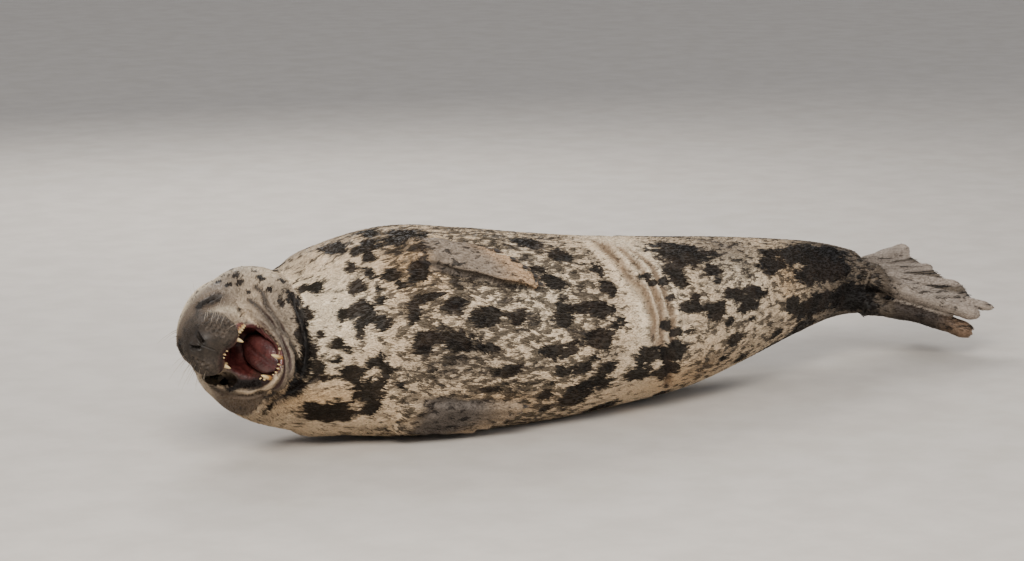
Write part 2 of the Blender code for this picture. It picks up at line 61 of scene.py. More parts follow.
ROUND = 2.2                       # power n of the sections |x|^n + |y|^n = 1
BODY = np.array([     # centre x, y, z, reach to the side, belly and back, share of the head's roll
    [-0.552, 0.036, 0.248, 0.090, 0.084, 0.074, 1.00],
    [-0.508, 0.041, 0.247, 0.120, 0.118, 0.094, 0.95],
    [-0.456, 0.050, 0.189, 0.130, 0.133, 0.098, 0.85],
    [-0.390, 0.044, 0.188, 0.170, 0.153, 0.112, 0.65],
    [-0.306, 0.038, 0.196, 0.187, 0.190, 0.140, 0.35],
    [-0.190, 0.018, 0.200, 0.206, 0.208, 0.155, 0.10],
    [-0.049, -0.004, 0.190, 0.203, 0.215, 0.165, 0.00],
    [0.113, -0.020, 0.178, 0.191, 0.212, 0.168, 0.00],
    [0.285, -0.030, 0.172, 0.174, 0.200, 0.162, 0.00],
    [0.454, -0.034, 0.170, 0.159, 0.180, 0.150, 0.00],
    [0.622, -0.030, 0.177, 0.135, 0.145, 0.130, 0.00],
    [0.786, -0.020, 0.182, 0.108, 0.108, 0.106, 0.00],
    [0.927, -0.008, 0.180, 0.086, 0.075, 0.082, 0.00],
    [1.043, 0.004, 0.167, 0.068, 0.048, 0.055, 0.00],
])
HEAD_AT = np.array([-0.576, 0.018, 0.247])
HEAD_FORWARD = np.array([-0.712, -0.702, 0.010])
HEAD_TOP = np.array([-0.622, 0.645, 0.445])
HEAD_SCALE = 0.99
GAPE = np.radians(45.0)
HINGE = np.array([-0.030, 0.0, -0.045])
SKULL = mm([    # here and in the rows below: forward, half width, top, bottom
    [-105, 84, 82, -80], [-60, 90, 84, -85], [-20, 89, 79, -75], [20, 76, 69, -58],
    [55, 58, 59, -52], [90, 52, 46, -52], [115, 46, 35, -47], [135, 35, 23, -34], [146, 18, 5, -16],
])
JAW = mm([
    [-40, 80, 10, -64], [20, 74, 4, -56], [60, 63, 0, -46], [100, 53, -2, -38], [132, 40, -4, -34],
    [154, 20, -10, -26],
])
CHEEK = mm([
    [-135, 86, 48, -105], [-80, 83, 59, -86], [-20, 75, 62, -64], [30, 63, 54, -54],
    [62, 53, 40, -40],
])
PALATE = mm([
    [-10, 18, -42, -80], [30, 30, -37, -80], [70, 30, -35, -80], [95, 24, -38, -80],
    [112, 12, -46, -80],
])
FLOOR = mm([
    [-5, 20, 35, -6], [30, 36, 35, -20], [70, 38, 35, -23], [105, 32, 35, -21], [130, 18, 35, -12],
])
THROAT = mm([
    [0, 10, 5, -5], [20, 28, 16, -16], [50, 42, 28, -28], [80, 55, 36, -36], [110, 62, 50, -50],
])
MASSES = [            # centre and half sizes of whisker pad, jowl and brow, each with a mate
    ((0.103, 0.027, -0.021), (0.040, 0.032, 0.036)),
    ((-0.128, 0.045, -0.083), (0.072, 0.054, 0.053)),
    ((0.024, 0.040, 0.044), (0.032, 0.018, 0.014)),
]
NOSE = ((0.135, 0.0, 0.003), (0.018, 0.021, 0.017))


# %% Curves through stations
def unit(v):
    """Vectors of length one: v / |v|."""
    return v / np.maximum(np.linalg.norm(v, axis=-1, keepdims=True), 1e-12)


def smooth(knots, values, at):
    """Cubic through the rows of values, each slope being that between its two neighbours."""
    knots, values = np.asarray(knots, float), np.asarray(values, float)
    at = np.clip(np.asarray(at, float), knots[0], knots[-1])
    slope = np.gradient(values, knots, axis=0)
    i = np.clip(np.searchsorted(knots, at, side="right") - 1, 0, len(knots) - 2)
    step = knots[i + 1] - knots[i]
    t = (at - knots[i]) / step
    if values.ndim == 2:
        step, t = step[:, None], t[:, None]
    return ((2 * t**3 - 3 * t**2 + 1) * values[i] + (t**3 - 2 * t**2 + t) * step * slope[i]
            + (3 * t**2 - 2 * t**3) * values[i + 1] + (t**3 - t**2) * step * slope[i + 1])


def ease(low, high, x):
    """0 below low, 1 above high, and 3t^2 - 2t^3 between."""
    t = np.clip((x - low) / (high - low), 0, 1)
    return t * t * (3 - 2 * t)


print("a quarter of the way eases to", ease(0, 1, 0.25))


# %% Frame of the head and hinge of the jaw
def head_axes():
    """Rows forward, left and top of the head's frame."""
    forward = unit(HEAD_FORWARD)
    top = unit(HEAD_TOP - (HEAD_TOP @ forward) * forward)
    return np.stack([forward, np.cross(top, forward), top])


AXES = head_axes()


def head_to_world(p):
    """Head frame to world: origin + scale * (forward, left, top)."""
    return HEAD_AT - MIDDLE + HEAD_SCALE * np.asarray(p) @ AXES


def world_to_head(p):
    """World to head frame."""
    return (p + MIDDLE - HEAD_AT) @ AXES.T / HEAD_SCALE


def tilt_down(p, angle):
    """Jaw frame to head frame: turned down about the hinge. The skull's rows, with no angle, stay."""
    p = np.asarray(p, float)
    if not angle:
        return p
    c, s = np.cos(angle), np.sin(angle)
    return HINGE + np.stack([p[..., 0] * c + p[..., 2] * s, p[..., 1], p[..., 2] * c - p[..., 0] * s], -1)


def tilt_back(p, angle):
    """Head frame to jaw frame."""
    q = np.asarray(p, float) - HINGE
    c, s = np.cos(angle), np.sin(angle)
    return np.stack([q[..., 0] * c - q[..., 2] * s, q[..., 1], q[..., 2] * c + q[..., 0] * s], -1)


print("head axes", AXES.round(3).tolist())


# %% Sections and the trunk's surface
def rounded(turn):
    """Cosine and sine parts, at a turn, of the section |x|^n + |y|^n = 1."""
    c, s = np.cos(turn), np.sin(turn)
    size = (np.abs(c) ** ROUND + np.abs(s) ** ROUND) ** (-1 / ROUND)
    return size * c, size * s


def ring(count):
    """The same section at evenly spaced turns."""
    return rounded(np.linspace(0, 2 * np.pi, count, endpoint=False))


def sections(table, rows, count):
    """Rings of a row of stations (forward, half width, top, bottom)."""
    at = np.linspace(table[0, 0], table[-1, 0], rows)
    wide, top, low = smooth(table[:, 0], table[:, 1:], at).T
    c, s = ring(count)
    return np.stack([np.broadcast_to(at[:, None], (rows, count)), wide[:, None] * s,
                     (top + low)[:, None] / 2 + (top - low)[:, None] / 2 * c], -1)


def body_line(at):
    """Centre, backward, left and belly directions and reaches at shares of the body's length."""
    mid = BODY[:, :3] - MIDDLE
    run = np.r_[0, np.cumsum(np.linalg.norm(np.diff(mid, axis=0), axis=1))]
    at = np.asarray(at, float) * run[-1]
    centre = smooth(run, mid, at)
    back = unit(smooth(run, mid, at + 1e-4) - smooth(run, mid, at - 1e-4))
    roll = smooth(run, BODY[:, 6], at)[:, None]
    left = (1 - roll) * np.array([0.0, 0.0, 1.0]) + roll * AXES[1]
    left = unit(left - (left * back).sum(-1, keepdims=True) * back)
    return centre, back, left, np.cross(back, left), smooth(run, BODY[:, 3:6], at)


def body_point(along, turn):
    """Points of the trunk's surface: share along, and turn from the belly (0) to the left (+)."""
    centre, _, left, belly, reach = body_line(along)
    c, s = rounded(turn)
    deep = np.where(c > 0, reach[:, 1], reach[:, 2]) * c
    return centre + belly * deep[:, None] + left * (reach[:, 0] * s)[:, None]


print("belly at half length", body_point(np.array([0.5]), np.array([0.0])).round(3).tolist())


# %% [markdown]
# ## Closed tubes and meshes
# Every form is a closed tube: rings of points in order, with a fan over each end. It could be
# modelled by hand from a cylinder, but then it would not keep to the stations. Here a whole row
# of rings is worked out at once in arrays and becomes a mesh in one call.

# %% Closed tubes
def tube_faces(rows, count):
    """Triangles of a closed tube: two per cell of the grid, and a fan over each end."""
    i, j = [v.ravel() for v in np.indices((rows - 1, count))]
    k = (j + 1) % count
    a, b, c, d = i * count + j, i * count + k, (i + 1) * count + k, (i + 1) * count + j
    j = np.arange(count)
    k = (j + 1) % count
    first, last = np.full(count, rows * count), np.full(count, rows * count + 1)
    return np.concatenate([np.stack([a, b, c], 1), np.stack([a, c, d], 1),
                           np.stack([first, k, j], 1),
                           np.stack([last, (rows - 1) * count + j, (rows - 1) * count + k], 1)])


def closed(rings):
    """Vertices and outward triangles of a closed tube."""
    rows, count = rings.shape[:2]
    verts = np.vstack([rings.reshape(-1, 3), rings[0].mean(0), rings[-1].mean(0)])
    faces = tube_faces(rows, count)
    a, b, c = (verts[faces] - verts.mean(0)).transpose(1, 0, 2)
    return verts, faces if (np.cross(a, b) * c).sum() > 0 else faces[:, ::-1]


def gather(parts):
    """Several closed forms as one set of vertices and faces."""
    starts = np.cumsum([0] + [len(v) for v, _ in parts])
    return (np.vstack([v for v, _ in parts]),
            np.vstack([f + s for (_, f), s in zip(parts, starts)]))


print("a tube of 3 rings of 8 has", len(tube_faces(3, 8)), "triangles")


# %% Meshes from arrays, and back
def make(name, verts, faces):
    """Mesh object from arrays, shaded smooth."""
    faces = np.ascontiguousarray(faces, np.int32)
    mesh = bpy.data.meshes.new(name)
    mesh.vertices.add(len(verts))
    mesh.vertices.foreach_set("co", np.ascontiguousarray(verts, np.float32).ravel())
    mesh.loops.add(faces.size)
    mesh.loops.foreach_set("vertex_index", faces.ravel())
    mesh.polygons.add(len(faces))
    mesh.polygons.foreach_set("loop_start", np.arange(0, faces.size, faces.shape[1], dtype=np.int32))
    mesh.polygons.foreach_set("use_smooth", np.ones(len(faces), bool))
    mesh.update(calc_edges=True)
    item = bpy.data.objects.new(name, mesh)
    bpy.context.scene.collection.objects.link(item)
    return item


def settle(item, kind, **values):
    """Add one modifier and apply it."""
    step = item.modifiers.new(kind.lower(), kind)
    for key, value in values.items():
        setattr(step, key, value)
    fresh = bpy.data.meshes.new_from_object(item.evaluated_get(bpy.context.evaluated_depsgraph_get()))
    item.modifiers.clear()
    item.data = fresh
    return item


def arrays(item):
    """Vertices and triangles of an object's mesh."""
    mesh = item.data
    verts = np.empty(len(mesh.vertices) * 3)
    mesh.vertices.foreach_get("co", verts)
    mesh.calc_loop_triangles()
    faces = np.empty(len(mesh.loop_triangles) * 3, np.int32)
    mesh.loop_triangles.foreach_get("vertices", faces)
    return verts.reshape(-1, 3), faces.reshape(-1, 3)


print("meshes so far", len(bpy.data.meshes))

# %% Balls and tapered limbs
POLE = 0.06                           # radians left open at each pole of a ball, for the fan


def ball(centre, half, axes=np.eye(3), rows=16, count=28):
    """Ellipsoid: centre + half sizes * (cos p, sin p cos t, sin p sin t) in its own axes."""
    p = np.linspace(POLE, np.pi - POLE, rows)[:, None]
    t = np.linspace(0, 2 * np.pi, count, endpoint=False)[None]
    sphere = np.stack([np.cos(p) + 0 * t, np.sin(p) * np.cos(t), np.sin(p) * np.sin(t)], -1)
    return closed(np.asarray(centre) + (sphere * half) @ axes)


def head_ball(centre, half, **kw):
    """Ellipsoid given in the head's frame."""
    return ball(head_to_world(centre), HEAD_SCALE * np.asarray(half), AXES, **kw)


def head_form(rings, angle=0.0):
    """Closed tube given in the head's frame, or in the jaw's turned down by an angle."""
    return closed(head_to_world(tilt_down(rings, angle)))


def tube(path, radii, face, count=16):
    """Tapered limb along a path; face is the flat's direction, radii are (side, flat) per row."""
    path, radii = np.asarray(path, float), np.asarray(radii, float)
    way = unit(np.gradient(path, axis=0))
    side = unit(np.cross(np.broadcast_to(face, path.shape), way))
    flat = np.cross(way, side)
    c, s = ring(count)
    return (path[:, None] + side[:, None] * (radii[:, :1] * c)[..., None]
            + flat[:, None] * (radii[:, 1:] * s)[..., None])


def stub(path, radii, face):
    """Closed tube, 14 rows long, through three points with a radius pair at each."""
    stops = np.linspace(0, 2, 14)
    return closed(tube(smooth([0, 1, 2], path - MIDDLE, stops), smooth([0, 1, 2], radii, stops), face, 20))


print("a ball has", len(ball((0, 0, 0), (1, 1, 1))[1]), "triangles")

# %% [markdown]
# ## Flippers
# A fore flipper is five digits drawn together and laid along the flank; a hind flipper is a fan
# of five digits with webs between them. A flat plate with grooves would show the digits from
# one side only. Tapered tubes under one skin make the knuckles and the hollows all round.

# %% Sizes of the flippers
DIGIT_ROWS = 16
BURIED = 0.16             # share of a fore digit that is sunk in the trunk, by SUNK metres at its start
SUNK = 0.030
FORE = {                  # share along and turn in degrees of root and tip, degrees between digits
    "left": ((0.240, 51.0), (0.371, 33.5), 3.6),
    "right": ((0.220, -33.0), (0.363, -36.0), -4.4),
}
FORE_LENGTHS = (1.00, 0.97, 0.90, 0.81, 0.70)
FORE_RADII = (0.0175, 0.0075)
HIND = {
    "left": mm([
        [[1020, -70, 184], [1246, -184, 96]], [[1020, -54, 188], [1302, -172, 104]],
        [[1020, -39, 191], [1283, -87, 146]], [[1020, -24, 194], [1273, -13, 174]],
        [[1020, -10, 196], [1263, 60, 204]]]),
    "right": mm([
        [[1020, -60, 124], [1238, -170, 53]], [[1020, -46, 124], [1264, -150, 58]],
        [[1020, -33, 125], [1263, -72, 64]], [[1020, -19, 127], [1261, -6, 72]],
        [[1020, -5, 129], [1264, 54, 78]]]),
}
WEB_HALF = 0.005          # half the thickness of the skin between digits
HIND_RADII = mm(((24, 19), (20, 12.5), (18, 11.5), (18, 12.5), (19, 22)))
HIND_BOW = {"left": 0.0, "right": 0.012}
FAN_FACE = (0.10, 0.35, 1.0)
ANKLES = (mm([[880, -12, 196], [985, -24, 192], [1075, -58, 184]]),
          mm([[880, -12, 156], [985, -24, 146], [1072, -58, 128]]))
ANKLE_RADII = mm(((56, 56), (42, 48), (24, 40)))
TAIL = mm([[985, 52, 176], [1060, 88, 176], [1120, 112, 172]])
TAIL_RADII = mm(((40, 24), (32, 15), (14, 8)))

print("fore digits", 2 * len(FORE_LENGTHS), "hind digits", sum(len(ends) for ends in HIND.values()))


# %% Digits along the flank
def on_trunk(along, turn, lift):
    """Points lifted off the trunk's surface along its outward direction, and that direction."""
    e = 1e-3
    place = body_point(along, turn)
    outward = unit(np.cross(body_point(along + e, turn) - place, body_point(along, turn + e) - place))
    outward *= np.sign(((place - body_line(along)[0]) * outward).sum(-1, keepdims=True))
    return place + outward * np.asarray(lift)[:, None], outward


digits = []          # name of the flipper, path, radii per row, face per row
share = np.linspace(-BURIED, 1.0, DIGIT_ROWS)
for side, (start, finish, step) in FORE.items():
    for n, length in enumerate(FORE_LENGTHS):
        t = share * length
        along = start[0] + (finish[0] - start[0]) * t
        turn = np.radians(start[1] + (finish[1] - start[1]) * t + step * n * (0.86 + 0.2 * t))
        grow = np.clip(share, 0, 1)
        radius = FORE_RADII[0] + (FORE_RADII[1] - FORE_RADII[0]) * grow ** 0.8
        radius = radius * (1 + 0.10 * np.cos(grow * 6 * np.pi) * (grow > 0.1))      # knuckles
        path, outward = on_trunk(along, turn, -SUNK * np.clip(-share / BURIED, 0, 1) - 0.004 + 0.012 * grow)
        digits.append(("fore_" + side, path, np.stack([radius * 1.25, radius], 1), outward))
print("fore digits laid", len(digits))

# %% Fans of the hind flippers
share = np.linspace(0, 1, DIGIT_ROWS)
webs = []
for side, ends in HIND.items():
    lines = []
    for (root, tip), (thick, fine) in zip(ends - MIDDLE, HIND_RADII):
        path = root + (tip - root) * share[:, None]
        path[:, 2] += HIND_BOW[side] * 4 * share * (1 - share)
        radius = thick + (fine - thick) * share
        radius = radius * (1 + 0.05 * np.cos(share * 6 * np.pi))
        radius[-1] *= 0.6
        digits.append(("hind_" + side, path, np.stack([radius * 1.1, radius * 0.85], 1),
                       np.broadcast_to(unit(np.array(FAN_FACE)), path.shape)))
        lines.append(path[0] + (path - path[0]) * 0.94)
    for one, two in zip(lines[:-1], lines[1:]):
        middle = (one + two) / 2
        half = np.linalg.norm(one - two, axis=1) / 2 + 0.002
        flat = unit(np.cross(unit(two - one), unit(np.gradient(middle, axis=0))))
        webs.append(closed(tube(middle, np.stack([half, np.full(DIGIT_ROWS, WEB_HALF)], 1), flat)))
print(len(digits), "digits")

# %% [markdown]
# ## One skin over all the flesh
# Flesh has no seams, so the forms can't stay apart, and a union of solids would leave a crease
# at every joint. A fine grid of cells joins them instead, which gives one closed surface.
# The mouth is then hollowed out, the flippers are added, and the grain of the grid is smoothed
# away by moving each point towards the mean of its neighbours and part of the way back, which
# keeps the thin edges of the flippers. Flesh that meets the floor spreads on it.

# %% Skin
TRUNK_ROWS, TRUNK_TURNS = 140, 110
TRUNK_CELL, MOUTH_CELL, SKIN_CELL = 0.006, 0.0045, 0.0032


def blend(item, cell, rounds=0):
    """Join what overlaps by a grid of cells, and smooth it a number of times."""
    settle(item, "REMESH", mode="VOXEL", voxel_size=cell, adaptivity=0.0)
    if rounds:
        settle(item, "SMOOTH", factor=0.5, iterations=rounds)


grid = np.meshgrid(np.linspace(0, 1, TRUNK_ROWS), np.linspace(0, 2 * np.pi, TRUNK_TURNS, endpoint=False),
                   indexing="ij")
forms = [
    closed(body_point(grid[0].ravel(), grid[1].ravel()).reshape(TRUNK_ROWS, TRUNK_TURNS, 3)),
    head_form(sections(SKULL, 48, 64)),
    head_form(sections(JAW, 40, 64), GAPE),
    head_form(sections(CHEEK, 30, 64), GAPE / 2),
    head_ball(*NOSE),
]
for centre, half in MASSES:
    forms += [head_ball(np.array(centre) * (1, side, 1), half) for side in (1, -1)]
forms += [stub(path, ANKLE_RADII, (0.3, 1.0, 0.0)) for path in ANKLES]
flesh = make("flesh", *gather(forms))
blend(flesh, TRUNK_CELL, 4)
for table, angle in ((PALATE, 0.0), (FLOOR, GAPE), (THROAT, GAPE / 2)):
    cutter = make("cutter", *head_form(sections(table, 20, 32), angle))
    settle(flesh, "BOOLEAN", operation="DIFFERENCE", solver="MANIFOLD", object=cutter)
    bpy.data.objects.remove(cutter)
blend(flesh, MOUTH_CELL, 3)
limbs = [closed(tube(path, radii, face)) for _, path, radii, face in digits] + webs
limbs.append(stub(TAIL, TAIL_RADII, (-0.5, 1.0, 0.0)))
skin = make("skin", *gather([arrays(flesh)] + limbs))
bpy.data.objects.remove(flesh)
blend(skin, SKIN_CELL)
print("skin grid", len(skin.data.polygons), "cells")


# %% Smoothing and outward directions
def relax(verts, faces, steps, out=0.5, back=-0.52):
    """Each point moves towards its neighbours' mean by a share, then back by a larger one."""
    edges = np.vstack([faces[:, [0, 1]], faces[:, [1, 2]], faces[:, [2, 0]]])
    edges = np.unique(np.sort(edges, axis=1), axis=0)
    a, b = edges.T
    degree = np.bincount(edges.ravel(), minlength=len(verts))[:, None]
    verts = verts.copy()
    for amount in ([out, back] if back else [out]) * steps:
        total = np.stack([np.bincount(a, verts[b, k], len(verts)) + np.bincount(b, verts[a, k], len(verts))
                          for k in range(3)], 1)
        verts += amount * (total / degree - verts)
    return verts


def normals_of(verts, faces):
    """Outward directions at the vertices: the faces' area vectors added up and made unit."""
    a, b, c = verts[faces].transpose(1, 0, 2)
    area = np.cross(b - a, c - a)
    total = np.stack([np.bincount(faces.ravel(), np.repeat(area[:, k], 3), len(verts)) for k in range(3)], 1)
    return unit(total)


verts, faces = arrays(skin)
bpy.data.objects.remove(skin)
verts = relax(verts, faces, 4)
SPREAD, SINK = 0.012, 0.004                      # how softly the flesh meets the floor
verts[:, 2] = np.maximum((verts[:, 2] + np.sqrt(verts[:, 2] ** 2 + SPREAD ** 2)) / 2 - SINK, 0.0)
NAPE_AHEAD, NAPE_HALF = -0.115, 0.040            # where head and neck meet, in the head's frame
nape = np.exp(-((world_to_head(verts)[:, 0] - NAPE_AHEAD) / NAPE_HALF) ** 2) * ease(0.25, 0.31, verts[:, 2])
verts += nape[:, None] * (relax(verts, faces, 40, 0.9, 0.0) - verts)
INSET = 0.0012                                   # depth of the coat
verts -= normals_of(verts, faces) * INSET
print("skin", len(verts), "points", len(faces), "triangles")

# %% [markdown]
# ## Folds, lids, nostrils and lips
# Each fold is a curve on the skin, given by a few points. The skin is pressed in along it and
# raised a little on both sides, with a depth and a width of its own in metres. Sculpting by
# hand could do the same, but a curve can be measured, moved and pressed in again. The curves
# of the head are in the head's frame; those of the trunk are (share along, turn in degrees).

# %% Finer triangles where they are wanted
def refine(verts, faces, chosen):
    """Split the chosen triangles in four, and their neighbours in two or four so nothing gapes."""
    pairs = np.sort(faces[:, [[0, 1], [1, 2], [2, 0]]], axis=2).reshape(-1, 2)
    edges, which = np.unique(pairs, axis=0, return_inverse=True)
    which = which.reshape(-1, 3)
    cut = np.zeros(len(edges), bool)
    cut[which[chosen]] = True
    while (cut[which].sum(1) == 2).any():
        cut[which[cut[which].sum(1) == 2]] = True
    middle = np.full(len(edges), -1)
    middle[cut] = len(verts) + np.arange(cut.sum())
    count, middle = cut[which].sum(1), middle[which]
    (a, b, c), (p, q, r) = faces[count == 3].T, middle[count == 3].T
    roll = ((middle[count == 1] >= 0).argmax(1)[:, None] + np.arange(3)) % 3
    d, e, f = np.take_along_axis(faces[count == 1], roll, 1).T
    m = middle[count == 1].max(1)
    rows = [(a, p, r), (p, b, q), (r, q, c), (p, q, r), (d, m, f), (m, e, f)]
    return (np.vstack([verts, verts[edges[cut]].mean(1)]),
            np.vstack([faces[count == 0]] + [np.stack(row, 1) for row in rows]))


print("one triangle becomes", len(refine(np.eye(3), np.array([[0, 1, 2]]), [0])[1]))


# %% Curves pressed into the skin
def nearest(points, samples, chunk=3000):
    """Index of the nearest sample to each point, and the distance."""
    index = np.empty(len(points), int)
    for start in range(0, len(points), chunk):
        gap = points[start:start + chunk, None] - samples[None]
        index[start:start + chunk] = (gap ** 2).sum(-1).argmin(1)
    return index, np.linalg.norm(points - samples[index], axis=1)


def line(points, step=0.002):
    """A smooth curve through points, sampled evenly, and the share of its length at each sample."""
    points = np.asarray(points, float)
    run = np.r_[0, np.cumsum(np.linalg.norm(np.diff(points, axis=0), axis=1))]
    share = np.linspace(0, 1, max(int(run[-1] / step), 8))
    return smooth(run, points, share * run[-1]), share


def beside(verts, normals, points, reach):
    """Distance of each point from a curve, measured along the skin, and the share of its length."""
    samples, share = line(points)
    low, high = samples.min(0) - reach, samples.max(0) + reach
    near = np.flatnonzero(((verts > low) & (verts < high)).all(1))
    index, _ = nearest(verts[near], samples)
    gap = verts[near] - samples[index]
    rise = (gap * normals[near]).sum(1)
    side = np.sqrt(np.maximum((gap ** 2).sum(1) - rise ** 2, 0))
    side[np.abs(rise) > reach] = 9
    return near, side, share[index]


def crease(verts, normals, points, depth, width, rim=0.35):
    """Press a groove along a curve: -depth e^-(d/w)^2, with a low ridge at 1.9 w on both sides."""
    near, side, share = beside(verts, normals, points, 0.014 + 2 * width)
    ends = ease(0, 0.14, share) * ease(0, 0.14, 1 - share)
    wave = 1 + 0.22 * np.sin(share * 23 + depth * 900)
    shape = -np.exp(-(side / width) ** 2) + rim * np.exp(-((side - 1.9 * width) / width) ** 2)
    verts[near] += normals[near] * (depth * ends * wave * shape)[:, None]


print("a curve of 0.1 m has", len(line([(0, 0, 0), (0.1, 0, 0)])[0]), "samples")

# %% Curves of the folds
EYE_AT = np.array([0.030, 0.0400, 0.0205])
EYE_RADIUS = 0.0180
LID_SLIT = [(0.0560, 0.0400, 0.0420), (0.0520, 0.0460, 0.0360), (0.0430, 0.0540, 0.0310),
            (0.0340, 0.0610, 0.0260), (0.0270, 0.0660, 0.0220)]
BOTH_SIDES = [      # curve, depth, width, ridge
    ([(.035, .035, .056), (.026, .049, .050), (.018, .061, .041), (.012, .070, .030), (.009, .074, .020)],
     0.0016, 0.0030, 0.5),
    ([(.080, .037, .033), (.065, .047, .024), (.046, .057, .017), (.029, .067, .009)], 0.0018, 0.0034, 0.4),
    ([(.062, .034, .043), (.068, .048, .018), (.062, .051, -.006), (.072, .053, -.030)],
     0.0024, 0.0045, 0.3),
    ([(.037, .049, -.035), (.027, .056, -.036), (.020, .063, -.039)], 0.0030, 0.0026, 0.3),
    ([(.020, .066, -.010), (.023, .067, -.034), (.022, .062, -.054)], 0.0020, 0.0040, 0.3),
]
HEAD_FOLDS = [      # lips, lower jaw, jowls and throat
    ([(.029, .061, -.025), (.023, .055, -.055), (.019, .045, -.088), (.040, .036, -.119), (.057, .020, -.142),
      (.066, -.001, -.154), (.060, -.028, -.152), (.020, -.062, -.134), (.011, -.085, -.108),
      (.007, -.100, -.074), (-.013, -.111, -.036)], 0.0042, 0.0040, 0.45),
    ([(.011, .082, -.033), (.016, .078, -.058), (.013, .065, -.086), (.016, .052, -.111), (.040, .040, -.135),
      (.058, .025, -.155), (.066, .006, -.166), (.050, -.020, -.165), (.002, -.065, -.146),
      (.003, -.087, -.123)], 0.0040, 0.0044, 0.4),
    ([(-.005, .105, -.032), (-.001, .102, -.049), (.008, .089, -.064), (.009, .075, -.089),
      (.008, .060, -.112), (.006, .048, -.130), (-.005, .029, -.149), (-.008, .006, -.164),
      (-.008, -.021, -.171), (-.006, -.049, -.166)], 0.0045, 0.0050, 0.4),
    ([(-.047, .114, -.093), (-.032, .098, -.113), (-.024, .080, -.137), (-.019, .057, -.156),
      (-.016, .031, -.170), (-.013, .001, -.178), (-.014, -.030, -.180)], 0.0050, 0.0058, 0.4),
    ([(-.030, .005, -.213), (-.019, -.026, -.190), (-.010, -.052, -.171), (-.008, -.080, -.151)],
     0.0050, 0.0060, 0.3),
]
INNER_RIM = [(.025, .058, -.034), (.025, .051, -.064), (.026, .042, -.092), (.042, .032, -.120),
             (.048, .006, -.141), (.061, -.017, -.147), (.043, -.045, -.136), (.017, -.070, -.112),
             (.017, -.085, -.081), (.005, -.097, -.045)]
NOSTRIL = [(0.1400, 0.0160, 0.0170), (0.1460, 0.0110, 0.0060), (0.1480, 0.0045, -0.0080)]
PHILTRUM = [(.150, 0, .004), (.149, 0, -.010), (.144, 0, -.022), (.137, 0, -.034)]
UNDER_FLIPPER = 6   # the row of the fold under the left fore flipper
WAIST = slice(0, 4)
TRUNK_FOLDS = [     # waist, right armpit, left armpit, flipper, shoulders and neck, back, throat
    ([(.514, 78), (.508, 55), (.516, 37), (.531, 22), (.536, 12), (.538, -4)], 0.0140, 0.0095, 0.5),
    ([(.531, 73), (.532, 51), (.541, 34), (.549, 17), (.551, -4)], 0.0125, 0.0085, 0.5),
    ([(.548, 64), (.557, 46), (.561, 26), (.567, 10), (.568, -9)], 0.0100, 0.0085, 0.5),
    ([(.551, -8), (.568, -22), (.588, -46)], 0.0080, 0.0100, 0.4),
    ([(.206, -46), (.223, -40), (.242, -36), (.270, -30)], 0.0050, 0.0080, 0.3),
    ([(.232, 66), (.240, 54), (.247, 44)], 0.0040, 0.0090, 0.3),
    ([(.225, 52), (.25, 47), (.279, 40), (.315, 35), (.346, 32), (.378, 32)], 0.0090, 0.0075, 0.1),
    ([(.160, 95), (.172, 78), (.180, 60)], 0.0030, 0.0110, 0.3),
    ([(.070, 92), (.075, 70), (.062, 48), (.050, 30)], 0.0035, 0.0110, 0.3),
    ([(.60, 150), (.585, 120), (.572, 95)], 0.0040, 0.0120, 0.3),
    ([(.052, -40), (.060, -75), (.055, -110)], 0.0045, 0.0110, 0.3),
]

print("curves on the head", len(HEAD_FOLDS) + 2 * len(BOTH_SIDES), "and on the trunk", len(TRUNK_FOLDS))


# %% Folds of the trunk
def trunk_curve(rows):
    """Points of the trunk's skin for rows of (share along, turn in degrees)."""
    rows = np.asarray(rows, float)
    return body_point(rows[:, 0], np.radians(rows[:, 1]))


def mirrored(points):
    """Head frame points with the right side folded over the left."""
    ahead, out, top = world_to_head(points).T
    return np.stack([ahead, np.abs(out), top], 1)


def both_sides(rows):
    """A curve of the head's frame, in the world, on the left and then on the right."""
    return [head_to_world(np.array(rows) * (1, side, 1)) for side in (1, -1)]


normals = normals_of(verts, faces)
for rows, depth, width, rim in TRUNK_FOLDS:
    crease(verts, normals, trunk_curve(rows), depth, width, rim)

print("folds pressed", len(TRUNK_FOLDS))

# %% Fewer triangles on the trunk, four times as many round the eyes, muzzle and lips
FIRST_LIMIT = 106000
skin = make("skin", verts, faces)
free = skin.vertex_groups.new(name="free")
free.add(np.flatnonzero(world_to_head(verts)[:, 0] < -0.02).tolist(), 1.0, "REPLACE")
settle(skin, "DECIMATE", ratio=FIRST_LIMIT / len(faces), vertex_group="free", vertex_group_factor=1.0,
       use_collapse_triangulate=True)
verts, faces = arrays(skin)
bpy.data.objects.remove(skin)
middle = verts[faces].mean(1)
spot = mirrored(middle)
eye_zone = np.linalg.norm(spot - (0.040, 0.056, 0.030), axis=1) < 0.036
chosen = eye_zone | (spot[:, 0] > 0.068) & (spot[:, 2] > -0.06)
fold_line = np.concatenate([line(head_to_world(rows), 0.006)[0]
                            for rows in [fold[0] for fold in HEAD_FOLDS] + [INNER_RIM]])
near = np.flatnonzero(world_to_head(middle)[:, 0] > -0.06)
chosen[near] |= nearest(middle[near], fold_line)[1] < 0.010
verts, faces = refine(verts, faces, chosen)
spot = mirrored(verts[faces].mean(1))
lid_zone = np.linalg.norm(spot - (0.042, 0.054, 0.031), axis=1) < 0.022
verts, faces = refine(verts, faces, lid_zone | (spot[:, 0] > 0.134))
head_part = np.flatnonzero(world_to_head(verts)[:, 0] > -0.02)
verts[head_part] = relax(verts, faces, 3)[head_part]
print("refined", len(faces), "triangles")

